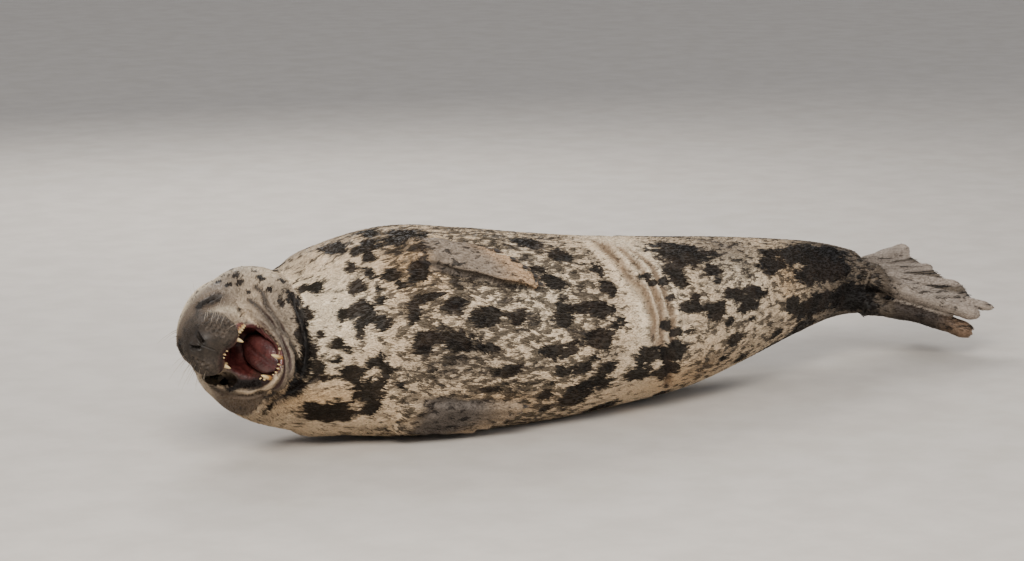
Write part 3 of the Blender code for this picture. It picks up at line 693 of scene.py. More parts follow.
# %% Folds, lids and nostrils of the head
normals = normals_of(verts, faces)
for rows, depth, width, rim in HEAD_FOLDS:
    crease(verts, normals, head_to_world(rows), depth, width, rim)
normals = normals_of(verts, faces)
crease(verts, normals, head_to_world(INNER_RIM), -0.0030, 0.0034, 0.2)
# After the paired folds, the lids stand off the eyeball a little and part along a narrow slit.
LIDS_AND_NOSE = [(LID_SLIT, -0.0018, 0.0075, 0.0), (LID_SLIT, 0.0100, 0.0038, 0.16),
                 (NOSTRIL, 0.0080, 0.0028, 0.16)]
for side in (0, 1):
    for rows, depth, width, rim in BOTH_SIDES + LIDS_AND_NOSE:
        crease(verts, normals, both_sides(rows)[side], depth, width, rim)
crease(verts, normals, head_to_world(PHILTRUM), 0.0014, 0.0014, 0.3)
print("head's folds", len(HEAD_FOLDS) + 2 * len(BOTH_SIDES))

# %% [markdown]
# ## Whisker pits
# A whisker stands in a pit of the pad, and the pits run back from the nose in rows. They could
# be bump, but they break the pad's edge, so each is a dimple with a low rim, pressed into the
# skin at the vertex nearest to its place on the pad's ellipsoid.

# %% Rows of pits
PIT_DEPTH, PIT_RADIUS = 0.0022, 0.0026
PIT_ROWS = (            # height, first and last turn in degrees, count
    (0.010, 14, 88, 5), (0.000, 8, 96, 6), (-0.010, 10, 104, 6), (-0.021, 8, 100, 6), (-0.032, 12, 84, 5))
(pad_at, pad_half), pits = MASSES[0], []
for height, first, last, count in PIT_ROWS:
    t = np.radians(np.linspace(first, last, count) + 3.0 * np.sin(np.arange(count) * 2.4))
    rise = (height - pad_at[2]) / pad_half[2]
    size = np.sqrt(1 - min(rise * rise, 0.9))
    pits.append(np.stack([pad_at[0] + pad_half[0] * size * np.cos(t),
                          pad_at[1] + pad_half[1] * size * np.sin(t), np.full(count, height)], 1))
pits = np.vstack(pits)
head_verts = world_to_head(verts)
pit_index = []
for side in (1, -1):
    near = np.flatnonzero((head_verts[:, 0] > 0.05) & (head_verts[:, 1] * side > 0.004))
    pit_index.append(near[nearest(pits * (1, side, 1), head_verts[near])[0]])
pit_index = np.concatenate(pit_index)
pit_at, pit_out = verts[pit_index].copy(), normals[pit_index].copy()
near = np.flatnonzero(head_verts[:, 0] > 0.05)
_, away = nearest(verts[near], pit_at)
hollow = PIT_DEPTH * np.exp(-(away / PIT_RADIUS) ** 2)
swelling = 0.0008 * np.exp(-((away - 2 * PIT_RADIUS) / 0.0018) ** 2)
verts[near] -= normals[near] * (hollow - swelling)[:, None]
print("pits", len(pit_at))

normals = normals_of(verts, faces)
print("skin", len(verts), "points", len(faces), "triangles")

# %% [markdown]
# ## Where each point lies on the animal
# Colours, the lie of the fur and the size of the tufts all follow the body, so every point of
# the skin gets its share along the trunk and turn about it, its place in the head's frame, and
# how far along which digit it is. Plain coordinates could serve instead, but stripes and hairs
# laid by them would cross the bent body at a slant.

# %% Places on the body
STATIONS = np.linspace(0, 1, 400)
MIDLINE = body_line(STATIONS)[0]
LENGTH = np.linalg.norm(np.diff(BODY[:, :3], axis=0), axis=1).sum()
share = np.interp(verts[:, 0], MIDLINE[:, 0], STATIONS)
for _ in range(4):                               # slide along until the point is square to the line
    centre, back, left, belly, reach = body_line(share)
    share = np.clip(share + 0.8 * ((verts - centre) * back).sum(1) / LENGTH, 0, 1)
centre, back, left, belly, reach = body_line(share)
down, aside = ((verts - centre) * belly).sum(1), ((verts - centre) * left).sum(1)
turn = np.arctan2(aside / reach[:, 0], down / np.where(down > 0, reach[:, 1], reach[:, 2]))
head = world_to_head(verts)
in_head = ease(-0.125, -0.060, head[:, 0]) * ease(0.075, 0.020, share)
print("share", share.min().round(3), share.max().round(3), "head", int((in_head > 0.5).sum()), "points")

# %% Digits and the lie of the fur
limb = np.zeros(len(verts))
limb_share = np.zeros(len(verts))
lie = back.copy()
flipper = np.full(len(verts), "", dtype="<U10")
for name in ("fore_left", "fore_right", "hind_left", "hind_right"):
    own = [d for d in digits if d[0] == name]
    rows = np.arange(DIGIT_ROWS)
    steps = np.linspace(0, rows[-1], 4 * rows[-1] + 1)
    paths = [smooth(rows, path, steps) for _, path, _, _ in own]
    path, way = np.concatenate(paths), np.concatenate([unit(np.gradient(p, axis=0)) for p in paths])
    size = np.concatenate([np.interp(steps, rows, radii.max(1)) for _, _, radii, _ in own])
    along = np.tile(steps / rows[-1], len(own))
    near = np.flatnonzero(((verts > path.min(0) - 0.04) & (verts < path.max(0) + 0.04)).all(1))
    index, away = nearest(verts[near], path)
    close = ease(1.75, 1.15, away / size[index]) * ease(0.02 if name[0] == "h" else 0.10, 0.30, along[index])
    better = close > limb[near]
    near, index, close = near[better], index[better], close[better]
    limb[near], limb_share[near], flipper[near] = close, along[index], name
    lie[near] = lie[near] * (1 - close[:, None]) + way[index] * close[:, None]
lie = lie * (1 - in_head[:, None]) - AXES[0] * in_head[:, None]
pad = np.exp(-(np.linalg.norm((head - (0.100, 0, -0.012)) * (1, 0.9, 1), axis=1) / 0.045) ** 2)
lie += AXES[1] * (np.sign(head[:, 1]) * 0.8 * pad)[:, None] + np.array([0, 0, -0.10])
lie = unit(lie - (lie * normals).sum(1)[:, None] * normals)
place = np.stack([share * LENGTH, down, aside], 1)
place_head = np.stack([-head[:, 0] - 0.04, -head[:, 2] - 0.05, head[:, 1]], 1)
place = place * (1 - in_head[:, None]) + place_head * in_head[:, None]

print("flippers", int((limb > 0.5).sum()), "points")


# %% Mouth, gums and lips
def inside(table, points, ease_by=0.012):
    """Share of a hollow's half sizes at each point: 0 on its axis, 1 on its wall."""
    ahead = np.clip(points[:, 0], table[0, 0], table[-1, 0])
    wide, top, low = smooth(table[:, 0], table[:, 1:], ahead).T
    past = np.maximum(points[:, 0] - table[-1, 0], table[0, 0] - points[:, 0]).clip(0) / ease_by
    return ((np.abs(points[:, 1]) / wide) ** ROUND
            + (np.abs(points[:, 2] - (top + low) / 2) / ((top - low) / 2)) ** ROUND) ** (1 / ROUND) + past


def along_curve(points, width):
    """1 on a curve of the skin, falling as e^-(d/w)^2 beside it."""
    near, side, _ = beside(verts, normals, points, 0.012 + 2 * width)
    amount = np.zeros(len(verts))
    amount[near] = np.exp(-(side / width) ** 2)
    return amount


along_rim = along_curve(head_to_world(INNER_RIM), 0.0038)
jaw = tilt_back(head, GAPE)
half_way = tilt_back(head, GAPE / 2)
depth = np.minimum(np.minimum(inside(PALATE, head), inside(FLOOR, jaw)), inside(THROAT, half_way))
mouth = ease(1.16, 1.04, depth)
axis = np.array([np.cos(GAPE / 2), 0, -np.sin(GAPE / 2)])
ahead = np.clip((head - HINGE) @ axis, 0.020, 0.125)
to_axis = HINGE + ahead[:, None] * axis - head
apart = np.linalg.norm(to_axis * (1, 0.9, 1), axis=1)
facing = (unit(to_axis) * (normals @ AXES.T)).sum(1)
lining = ease(0.05, 0.35, facing) * ease(0.084, 0.074, apart) * ease(-0.06, -0.03, head[:, 0]) * in_head
lining *= 1 - 0.85 * np.where(head[:, 2] < -0.02, along_rim, 0)
mouth = np.maximum(mouth, lining * ease(0.058, 0.046, apart))
lip = ease(1.36, 1.14, depth) * (1 - mouth)
# inner surfaces of the gape outside the hollow, painted below with dark gum and painted shade
gum = lining * (1 - mouth)
print("mouth", int((mouth > 0.5).sum()), "points")

# %% [markdown]
# ## Markings
# A cream coat carries black blotches with jagged edges, small and few on the neck, crowded on
# the chest and belly, and merging on the hips and ankles. Noise alone could scatter them, but
# every seal is known by its own pattern, so a list gives each blotch of the left side and belly:
# its place along and around the body, and its half lengths. The back and the right side get
# others of the same kind from a fixed seed.

# %% Blotches
BLOTCHES = np.array([     # thousandths of the length, degrees, millimetres along and across
    (77, 46, 27, 33), (87, 66, 18, 15), (116, 61, 10, 14), (107, 65, 8, 8), (160, 48, 19, 16),
    (185, 52, 10, 15), (167, 61, 12, 15), (155, 32, 31, 23), (129, 36, 11, 11), (146, 21, 12, 12),
    (120, 20, 12, 12), (130, 14, 11, 10), (107, 29, 6, 8), (119, 9, 8, 8), (109, -2, 9, 9),
    (84, 15, 17, 30), (64, 12, 15, 16), (102, 8, 10, 14), (163, 2, 22, 16), (132, 0, 23, 16),
    (155, -15, 41, 28), (113, -29, 47, 24), (159, -28, 27, 22), (180, -7, 17, 14), (200, -16, 13, 8),
    (236, 7, 28, 15), (270, 4, 33, 23), (225, 2, 18, 13), (220, 22, 13, 24), (237, 29, 29, 9),
    (268, 24, 27, 14), (215, 39, 12, 12), (207, 46, 17, 12), (235, 40, 18, 9), (243, 72, 36, 32),
    (258, 56, 34, 29), (240, 46, 22, 14), (179, 22, 20, 15), (173, 83, 18, 27), (186, 72, 14, 18),
    (163, 87, 16, 23), (215, 86, 18, 31), (206, 73, 16, 21), (193, 64, 13, 18), (186, 41, 8, 7),
    (183, 34, 12, 8), (303, 16, 35, 21), (306, 0, 28, 13), (343, 16, 25, 17), (402, 17, 19, 29),
    (396, 36, 29, 18), (381, 44, 23, 10), (474, 44, 18, 16), (476, 32, 23, 19), (454, 50, 15, 8),
    (449, 19, 50, 18), (485, 10, 18, 12), (454, 2, 44, 20), (401, -4, 43, 18), (425, -16, 51, 17),
    (452, -10, 15, 10), (469, -18, 23, 17), (436, -28, 23, 9), (465, -28, 32, 19), (389, -30, 21, 16),
    (368, -30, 9, 7), (398, -22, 9, 6), (403, -42, 16, 12), (435, -36, 31, 21), (528, -13, 34, 21),
    (571, -14, 41, 23), (567, -28, 32, 21), (522, -25, 33, 18), (538, 38, 19, 9), (548, 34, 11, 8),
    (567, 34, 14, 12), (572, 23, 11, 8), (558, 5, 11, 12), (575, -1, 19, 8), (597, -2, 11, 5),
    (592, 41, 28, 27), (332, -14, 33, 12), (316, -24, 19, 7), (398, 67, 46, 23), (426, 56, 39, 19),
    (624, 60, 72, 45), (597, 32, 17, 13), (684, 56, 22, 16), (660, 40, 29, 14), (614, 22, 15, 10),
    (601, 15, 34, 16), (644, 9, 29, 20), (668, -1, 13, 12), (660, 31, 19, 9), (677, 20, 23, 12),
    (715, 15, 52, 17), (707, 6, 43, 12), (680, -18, 30, 16), (718, -6, 15, 5), (777, -33, 23, 10),
    (667, -32, 15, 8), (715, -45, 26, 17), (870, 48, 142, 31), (775, 36, 44, 18), (883, 22, 116, 26),
    (804, -6, 24, 19), (866, -18, 90, 27), (847, -48, 44, 29), (943, -19, 94, 27),
]) / (1000.0, 1.0, 1000.0, 1000.0)
HEAD_BLOTCHES = mm([       # head frame: forward, left, top, radius
    (-30, 105, -100, 17), (-25, 92, -130, 16), (-18, 40, -168, 17), (-14, 8, -178, 18),
    (-14, -30, -180, 16), (-18, 66, -150, 12), (-10, 85, 20, 5), (-20, 92, -5, 6), (-5, 88, -25, 4),
    (-30, 100, 15, 6), (-35, 104, -30, 7), (-22, 95, -55, 6), (-25, 80, 45, 5), (-40, 90, 40, 4),
    (-20, 85, -80, 6), (-30, 70, -115, 8), (-30, 40, -140, 8), (-25, 10, -150, 7), (-45, 60, 66, 6),
    (-75, 75, 50, 5), (-60, 90, 20, 6), (-85, 95, 0, 7), (-50, 100, -15, 5), (-100, 100, -40, 10),
    (-60, 112, -62, 7), (-75, 50, 80, 8), (-40, -60, 66, 8), (-75, -80, 45, 9), (-55, -95, 5, 8),
    (-90, -100, -30, 10), (-60, -105, -60, 8), (-85, 15, 88, 7), (-100, -35, 85, 9),
])
print("blotches in the lists", len(BLOTCHES) + len(HEAD_BLOTCHES))

# %% Density of the blotches
HIDDEN_BLOTCHES = 190
HIDDEN_SPANS = ((0.02, 0.98), (98, 305), (0.012, 0.046), (0.008, 0.026))
picks = np.random.default_rng(41)
hidden = np.stack([picks.uniform(*span, HIDDEN_BLOTCHES) for span in HIDDEN_SPANS], 1)
hidden[:, 2:] *= 0.75 + 0.45 * ease(0.15, 0.8, hidden[:, :1])
mark = np.zeros(len(verts))
girth = np.sqrt(reach[:, 0] * np.where(down > 0, reach[:, 1], reach[:, 2]))
for at, around, half_along, half_across in np.vstack([BLOTCHES, hidden]):
    near = np.flatnonzero(np.abs(share - at) * LENGTH < half_along * 2)
    apart = np.abs((turn[near] - np.radians(around) + np.pi) % (2 * np.pi) - np.pi)
    away = np.hypot((share[near] - at) * LENGTH / half_along, apart * girth[near] / half_across)
    mark[near] = np.maximum(mark[near], 1.60 - away)
mark *= 1 - in_head * ease(-0.10, -0.03, head[:, 0])
for ahead, out, top, radius in HEAD_BLOTCHES:
    centre = head[np.linalg.norm(head - (ahead, out, top), axis=1).argmin()]
    away = np.linalg.norm(head - centre, axis=1) / (1.35 * radius)
    mark = np.maximum(mark, 1.3 - 0.8 * away)
mark = np.clip(mark, 0, 1) * (1 - 0.75 * limb)
speck = (0.30 + 0.65 * ease(0.12, 0.25, share) - 0.72 * ease(0.44, 0.52, share)
         + 0.45 * ease(0.56, 0.62, share)) * (1 - 0.6 * limb)
speck *= 1 - in_head * (0.10 + 0.90 * ease(-0.02, 0.03, head[:, 0]))
print("blotches on the far side", len(hidden), "share of the skin", round(float((mark > 0.5).mean()), 3))

# %% [markdown]
# ## Colours of the coat
# The ground is cream, greyer on the back, palest on the belly, stained brown near the flippers
# and dark on the muzzle; painted shade darkens every fold, slit and pit. A flat texture could hold
# all this, but it would be tied to one unwrap. Here soft patches and curves are painted on the
# vertices in turn, and noise in the material gives them their grain.

# %% Paints and brushes
CREAM, PALE, WARM = (0.65, 0.500, 0.335), (0.84, 0.705, 0.515), (0.52, 0.335, 0.17)
GREY, BROWN, DARK = (0.185, 0.150, 0.118), (0.105, 0.074, 0.050), (0.016, 0.013, 0.011)
TAN, ANKLE = (0.25, 0.150, 0.080), (0.048, 0.038, 0.031)
MUZZLE, NOSE_TIP, PIT_RING = (0.052, 0.038, 0.027), (0.036, 0.027, 0.020), (0.150, 0.112, 0.080)
LIP, GUM_AND_SHADE, DARK_GUM_AND_SHADE = (0.055, 0.034, 0.028), (0.040, 0.020, 0.017), (0.010, 0.007, 0.006)
tone = np.tile(np.array(CREAM), (len(verts), 1))


def paint(colour, amount):
    """Mix a colour into the coat's tone by an amount from 0 to 1 at every point."""
    global tone
    tone = tone * (1 - np.clip(amount, 0, 1)[:, None]) + np.array(colour) * np.clip(amount, 0, 1)[:, None]


def patch(at, around, half_along, half_across):
    """A soft round patch on the trunk: e^-r^2 in half lengths along and across."""
    apart = np.abs((turn - np.radians(around) + np.pi) % (2 * np.pi) - np.pi)
    return np.exp(-((share - at) * LENGTH / half_along) ** 2 - (apart * girth / half_across) ** 2)


def round_spot(centre, radius):
    """A soft ball about a place in the head's frame: e^-(d/r)^2."""
    return np.exp(-(np.linalg.norm(head - centre, axis=1) / radius) ** 2)


def along_both(rows, width):
    """Both sides' curves of a head frame row, as one amount after the other."""
    return [along_curve(points, width) for points in both_sides(rows)]


print("ground", CREAM)

# %% Colours of the trunk
upper = np.cos(turn - np.radians(150))
paint(GREY, 0.75 * ease(0.30, 0.95, upper))
paint(PALE, 0.85 * patch(0.115, 40, 0.10, 0.10) + 0.6 * patch(0.36, 30, 0.14, 0.12))
paint(PALE, 0.95 * patch(0.545, 35, 0.07, 0.24) + 0.6 * patch(0.70, 30, 0.10, 0.10))
paint(BROWN, 0.55 * patch(0.725, 64, 0.09, 0.05))
paint(GREY, 0.60 * patch(0.715, 62, 0.08, 0.06) + 0.55 * patch(0.27, -8, 0.10, 0.05))
paint(WARM, 0.70 * patch(0.10, -18, 0.09, 0.04) + 0.75 * patch(0.235, 50, 0.06, 0.07))
paint(WARM, 0.60 * patch(0.80, 22, 0.05, 0.05) + 0.70 * patch(0.60, -38, 0.16, 0.05))
paint(WARM, 0.65 * patch(0.33, -35, 0.14, 0.04))
# Painted shade: the waist folds are darkened along their lines, tan and then brown.
for rows, *_ in TRUNK_FOLDS[WAIST]:
    paint(TAN, 0.85 * along_curve(trunk_curve(rows), 0.0095))
    paint(BROWN, 0.70 * along_curve(trunk_curve(rows), 0.0045))
print("mean tone", tone.mean(0).round(3).tolist())

# %% Colours of the head
paint(GREY, in_head * 0.55)
paint(BROWN, in_head * 0.80 * ease(-0.035, 0.045, head[:, 0]) * ease(-0.03, 0.02, head[:, 2]))
paint(PALE, in_head * 0.80 * ease(0.040, 0.080, head[:, 2] - 0.45 * head[:, 0]))
paint(PALE, in_head * 0.55 * ease(0.0, -0.09, head[:, 0]) * ease(0.12, 0.06, np.abs(head[:, 2] - 0.02)))
CHEEK_STRIPE = [(.075, .045, .012), (.056, .054, .002), (.042, .058, -.014), (.032, .060, -.028)]
TEAR = [(.056, .040, .042), (.070, .035, .041), (.086, .030, .036)]
for amount in along_both(CHEEK_STRIPE, 0.0075):
    paint(PALE, 0.75 * amount)
above_lip = ease(-0.062, -0.048, head[:, 2])
muzzle = ease(0.050, 0.100, head[:, 0] + 0.35 * np.maximum(-head[:, 2], 0)) * above_lip
for side in (1, -1):
    paint(GREY, 0.75 * in_head * round_spot(EYE_AT * (1, side, 1), 0.042))
paint(MUZZLE, muzzle * 0.94)
paint(NOSE_TIP, ease(0.104, 0.134, head[:, 0]) * above_lip)
# The lids' dark rims along the slit are partly painted shade in it; the tear line is dark skin; the nostril
# slits are painted dark as painted shade in them.
for colour, strength, rows, width in ((BROWN, 1.0, LID_SLIT, 0.0180), (DARK, 1.6, LID_SLIT, 0.0090),
                                      (DARK, 0.75, TEAR, 0.0050), (DARK, 1.5, NOSTRIL, 0.0050)):
    for amount in along_both(rows, width):
        paint(colour, strength * amount)
# Painted shade: every fold of the lips, jaw, jowls and throat is darkened along its line.
for rows, *_ in HEAD_FOLDS:
    paint(BROWN, along_curve(head_to_world(rows), 0.0070))
    paint(DARK, along_curve(head_to_world(rows), 0.0036))
# Painted shade: the underside of the head is greyed, and its right side, which faces the floor, browned.
under = ease(-0.030, -0.075, head[:, 2]) * in_head
paint(GREY, 0.60 * under)
paint(BROWN, 0.90 * under * ease(0.05, -0.03, head[:, 1]))
paint(GREY, sum(0.60 * round_spot((-0.015, out, 0.025), 0.040) for out in (0.080, -0.080)))
paint(CREAM, 0.75 * along_curve(head_to_world(INNER_RIM), 0.0046))
paint(LIP, lip * 0.85 * (1 - along_curve(head_to_world(INNER_RIM), 0.0050)))
# Dark gum colour that is partly painted shade, on the inner surfaces of the gape.
paint(GUM_AND_SHADE, gum * 0.95)
# The right inner corner of the mouth is painted nearly black: dark gum and painted shade.
INNER_CORNER = [(.016, -.084, -.070), (.024, -.066, -.088), (.024, -.056, -.106), (.028, -.044, -.117)]
faces_ahead = ease(0.3, 0.7, normals @ AXES[0])
paint(DARK_GUM_AND_SHADE, 1.8 * along_curve(head_to_world(INNER_CORNER), 0.0105) * faces_ahead)
print("mean tone of the head", tone[in_head > 0.5].mean(0).round(3).tolist())

# %% Colours of the flippers and the pits
LIMB_TONES = {      # near the body, along the digits, at the tips
    "fore_left": ((0.14, 0.110, 0.085), (0.27, 0.215, 0.165), (0.50, 0.335, 0.20)),
    "fore_right": ((0.050, 0.040, 0.034), (0.110, 0.090, 0.074), (0.34, 0.25, 0.165)),
    "hind_left": ((0.075, 0.060, 0.050), (0.33, 0.275, 0.225), (0.40, 0.33, 0.27)),
    "hind_right": ((0.030, 0.024, 0.020), (0.050, 0.038, 0.030), (0.24, 0.155, 0.100)),
}
for name, (near_body, middle, tip) in LIMB_TONES.items():
    own = (flipper == name) * limb
    paint(near_body, own * 0.92)
    paint(middle, own * ease(0.05, 0.40, limb_share))
    paint(tip, own * ease(0.62, 0.95, limb_share))
ankles = ease(0.80, 0.93, share) * (1 - ease(0.3, 1.0, limb * ease(0.02, 0.30, limb_share)))
paint(ANKLE, ankles * 0.85)
# Painted shadow: a dark line along the fold under the left fore flipper.
paint(DARK, 0.8 * along_curve(trunk_curve(TRUNK_FOLDS[UNDER_FLIPPER][0]), 0.0050))
pit_near = np.flatnonzero(head[:, 0] > 0.05)
_, away = nearest(verts[pit_near], pit_at)
dots = np.zeros(len(verts))
dots[pit_near] = np.exp(-(away / 0.0027) ** 2)
paint(PIT_RING, 0.60 * muzzle * dots ** 0.3)
# Painted shade: each whisker pit is a dark dot.
paint(DARK, dots * 0.95)
attributes = {"place": place, "tone": np.c_[tone, np.ones(len(verts))], "mark": mark, "speck": speck,
              "pad": muzzle * (1 - mouth), "mouth": mouth,
              "bare": np.maximum(lip, ease(0.136, 0.146, head[:, 0]))}
print("tones", tone.min(0).round(3).tolist(), tone.max(0).round(3).tolist())

# %% [markdown]
# ## Materials
# The skin and every tuft share one network of nodes. Each point carries its tone, its blotch
# density and its place on the body, so the blotches run on unbroken from the skin to the hairs
# over it. The jagged edges come from fractal noise added to the density before it is cut off.

# %% Node helpers
class Net:
    """One material's nodes, added and joined in a line each."""

    def __init__(self, name):
        self.material = bpy.data.materials.new(name)
        self.material.use_nodes = True
        self.tree = self.material.node_tree
        self.shader = self.tree.nodes["Principled BSDF"]

    def put(self, target, value):
        """Join a socket, or set a plain value."""
        if isinstance(value, bpy.types.NodeSocket):
            self.tree.links.new(value, target)
        else:
            target.default_value = value

    def add(self, kind, values=(), out=0, **settings):
        """Add a node, set its properties and inputs, and return one of its outputs."""
        node = self.tree.nodes.new(kind)
        for key, value in settings.items():
            setattr(node, key, value)
        for key, value in dict(values).items():
            self.put(node.inputs[key], value)
        return node.outputs[out]

    def read(self, name, out="Fac"):
        """An attribute of the mesh."""
        node = self.tree.nodes.new("ShaderNodeAttribute")
        node.attribute_name = name
        return node.outputs[out]

    def here(self):
        """Place in the object, in metres."""
        return self.add("ShaderNodeTexCoord", out=3)

    def math(self, operation, a, b=0.0, c=0.0):
        """One operation on up to three values."""
        return self.add("ShaderNodeMath", {0: a, 1: b, 2: c}, operation=operation)

    def times(self, a, b):
        """a * b."""
        return self.math("MULTIPLY", a, b)

    def line(self, value, slope, start):
        """start + slope * value."""
        return self.math("MULTIPLY_ADD", value, slope, start)

    def noise(self, vector, scale, detail=4.0, rough=0.55, stretch=(1, 1, 1), distortion=0.0):
        """Fractal noise about 0.5, stretched by a factor on each axis."""
        mapped = self.add("ShaderNodeMapping", {"Vector": vector, "Scale": stretch})
        return self.add("ShaderNodeTexNoise", {"Vector": mapped, "Scale": scale, "Detail": detail,
                                               "Roughness": rough, "Distortion": distortion})

    def step(self, value, low, high):
        """0 below low, 1 above high, smooth between."""
        return self.add("ShaderNodeMapRange", {"Value": value, "From Min": low, "From Max": high},
                        interpolation_type="SMOOTHSTEP")

    def mix(self, amount, a, b, blend="MIX"):
        """Colour a mixed with colour b."""
        node = self.tree.nodes.new("ShaderNodeMix")
        node.data_type, node.blend_type = "RGBA", blend
        self.put(node.inputs[0], amount)
        for socket, value in ((node.inputs[6], a), (node.inputs[7], b)):
            self.put(socket, (*value, 1.0) if isinstance(value, tuple) else value)
        return node.outputs[2]

    def shade(self, colour, light):
        """Colour times a grey value, or times another colour."""
        if isinstance(light, bpy.types.NodeSocket):
            light = self.add("ShaderNodeCombineColor", {0: light, 1: light, 2: light})
        return self.mix(1.0, colour, light, "MULTIPLY")

    def bump(self, height, distance, strength=1.0, normal=None):
        """Tilt the normal by a height in metres, over an earlier bump if one is given."""
        values = {"Height": height, "Distance": distance, "Strength": strength}
        if normal is not None:
            values["Normal"] = normal
        return self.add("ShaderNodeBump", values)

    def end(self, colour, rough, normal=None, **constants):
        """Join the shader: colour, roughness and normal, then plain constants."""
        self.put(self.shader.inputs["Base Color"], colour)
        self.put(self.shader.inputs["Roughness"], rough)
        if normal is not None:
            self.put(self.shader.inputs["Normal"], normal)
        for key, value in constants.items():
            self.shader.inputs[key.replace("_", " ")].default_value = value
        return self.material


print("node helpers", sum(not name.startswith("_") for name in vars(Net)))

# %% Coat and skin
BLACKS = (0.0050, 0.0042, 0.0038), (0.018, 0.0120, 0.0085)
CLOUD, GRAIN = (0.055, 0.045, 0.037), (0.022, 0.017, 0.013)
LINING = (0.045, 0.010, 0.009), (0.098, 0.026, 0.022)


def coat_colour(net, at):
    """The tone with shades and streaks, then clouds, pad grain, blotches and flecks over it."""
    large = net.noise(at, 46.0, 5.0, 0.62, (0.75, 1.0, 1.0), 0.6)
    small = net.noise(at, 190.0, 3.0, 0.60, (0.38, 1.0, 1.0))
    edge = net.line(net.math("SUBTRACT", large, 0.5), 2.1, net.times(net.math("SUBTRACT", small, 0.5), 0.95))
    blotch = net.step(net.math("ADD", net.read("mark"), edge), 0.40, 0.66)
    flecks = net.step(net.line(net.noise(at, 88.0, 4.0, 0.6, (0.6, 1, 1), 0.4), 1.0,
                               net.times(net.read("speck"), 0.16)), 0.615, 0.665)
    flecks = net.times(flecks, net.step(net.read("speck"), 0.02, 0.30))
    dark = net.math("MAXIMUM", blotch, net.times(flecks, 0.85))
    streak = net.noise(at, 420.0, 2.0, 0.5, (0.16, 1, 1))
    light = net.line(net.noise(at, 15.0, 4.0, 0.55), 0.55, net.line(streak, 0.34, 0.555))
    ground = net.shade(net.read("tone", "Color"), light)
    cloud = net.step(net.noise(at, 36.0, 5.0, 0.65, (0.55, 1, 1), 0.8), 0.50, 0.61)
    ground = net.mix(net.times(cloud, net.times(net.read("speck"), 0.80)), ground, CLOUD)
    grainy = net.times(net.step(net.noise(at, 95.0, 5.0, 0.70), 0.46, 0.60), net.read("pad"))
    ground = net.mix(net.times(grainy, 0.75), ground, GRAIN)
    black = net.mix(net.step(net.noise(at, 21.0, 2.0), 0.42, 0.66), *BLACKS)
    return net.mix(net.times(dark, 0.97), ground, black)


def tuft_material():
    """The coat's colour, darker towards a tuft's root as painted shade, and by a whim of its own."""
    net = Net("tufts")
    whim = net.read("whim")
    lit = net.line(net.read("tip"), 0.24, net.line(whim, 0.18, 0.80))
    return net.end(net.shade(coat_colour(net, net.read("place", "Vector")), lit), net.line(whim, 0.16, 0.52),
                   Specular_IOR_Level=0.03, Sheen_Weight=0.01, Sheen_Roughness=0.5)


def skin_material():
    """The coat's colour with the mouth's wet lining, and bumps for flat hairs, wet folds and hide."""
    net = Net("skin_and_flat_fur")
    at, here, mouth_in = net.read("place", "Vector"), net.here(), net.read("mouth")
    lining = net.mix(net.step(net.noise(here, 120.0, 4.0, 0.6), 0.35, 0.70), *LINING)
    colour = net.mix(mouth_in, coat_colour(net, at), lining)
    wet = net.math("MAXIMUM", mouth_in, net.times(net.read("bare"), 0.75))
    rough = net.times(net.line(net.noise(at, 60.0, 3.0), 0.22, 0.52), net.line(wet, -0.45, 1.0))
    mottle = net.times(net.step(net.noise(at, 260.0, 3.0, 0.6), 0.44, 0.62), 0.55)
    colour = net.mix(mottle, colour, net.shade(colour, (0.52, 0.50, 0.48)))
    hairs = net.times(net.noise(at, 640.0, 2.0, 0.5, (0.14, 1, 1)), net.math("SUBTRACT", 1.0, wet))
    normal = net.bump(hairs, 0.0011, 0.55)
    normal = net.bump(net.times(net.noise(here, 210.0, 3.0, 0.6), wet), 0.0012, 0.6, normal)
    normal = net.bump(net.noise(at, 60.0, 3.0, 0.6, (0.5, 1, 1)), 0.0016, 0.35, normal)
    return net.end(colour, rough, normal, Specular_IOR_Level=0.28)


SKIN_PAINT, HAIR_PAINT = skin_material(), tuft_material()
print("skin nodes", len(SKIN_PAINT.node_tree.nodes), "tuft nodes", len(HAIR_PAINT.node_tree.nodes))


# %% Wet flesh, enamel, horn and bristle
def wet_material(name, dark, pale, scale, rough, distance, coat):
    """Wet flesh: two colours mixed by noise, fine bumps and a film of water."""
    net = Net(name)
    here = net.here()
    colour = net.mix(net.step(net.noise(here, scale, 5.0, 0.6), 0.35, 0.68), dark, pale)
    height = net.noise(here, scale * 6, 4.0, 0.6)
    return net.end(colour, net.line(height, 0.16, rough), net.bump(height, distance, 0.7),
                   Coat_Weight=coat, Coat_Roughness=0.12)


MOUTH_PAINT = wet_material("mouth_flesh", (0.042, 0.0095, 0.0085), (0.088, 0.024, 0.021), 60.0, 0.34,
                           0.0016, 0.35)
GUM_PAINT = wet_material("gum", (0.060, 0.018, 0.016), (0.160, 0.055, 0.046), 90.0, 0.26, 0.0008, 0.5)
EYE_PAINT = wet_material("eye_surface", (0.006, 0.005, 0.004), (0.018, 0.012, 0.008), 60.0, 0.06,
                         0.00004, 1.0)


def enamel_material():
    """Teeth: yellowed enamel, browner at the root, with fine cracks along it."""
    net = Net("enamel")
    here, to_root = net.here(), net.math("SUBTRACT", 0.75, net.read("crown"))
    stain = net.step(net.line(net.noise(here, 300.0, 4.0), 0.7, to_root), 0.35, 1.0)
    colour = net.mix(stain, (0.56, 0.42, 0.20), (0.26, 0.125, 0.040))
    grain = net.noise(here, 900.0, 3.0)
    return net.end(colour, net.line(grain, 0.18, 0.20), net.bump(grain, 0.0002, 0.5),
                   Coat_Weight=0.4, Coat_Roughness=0.1)


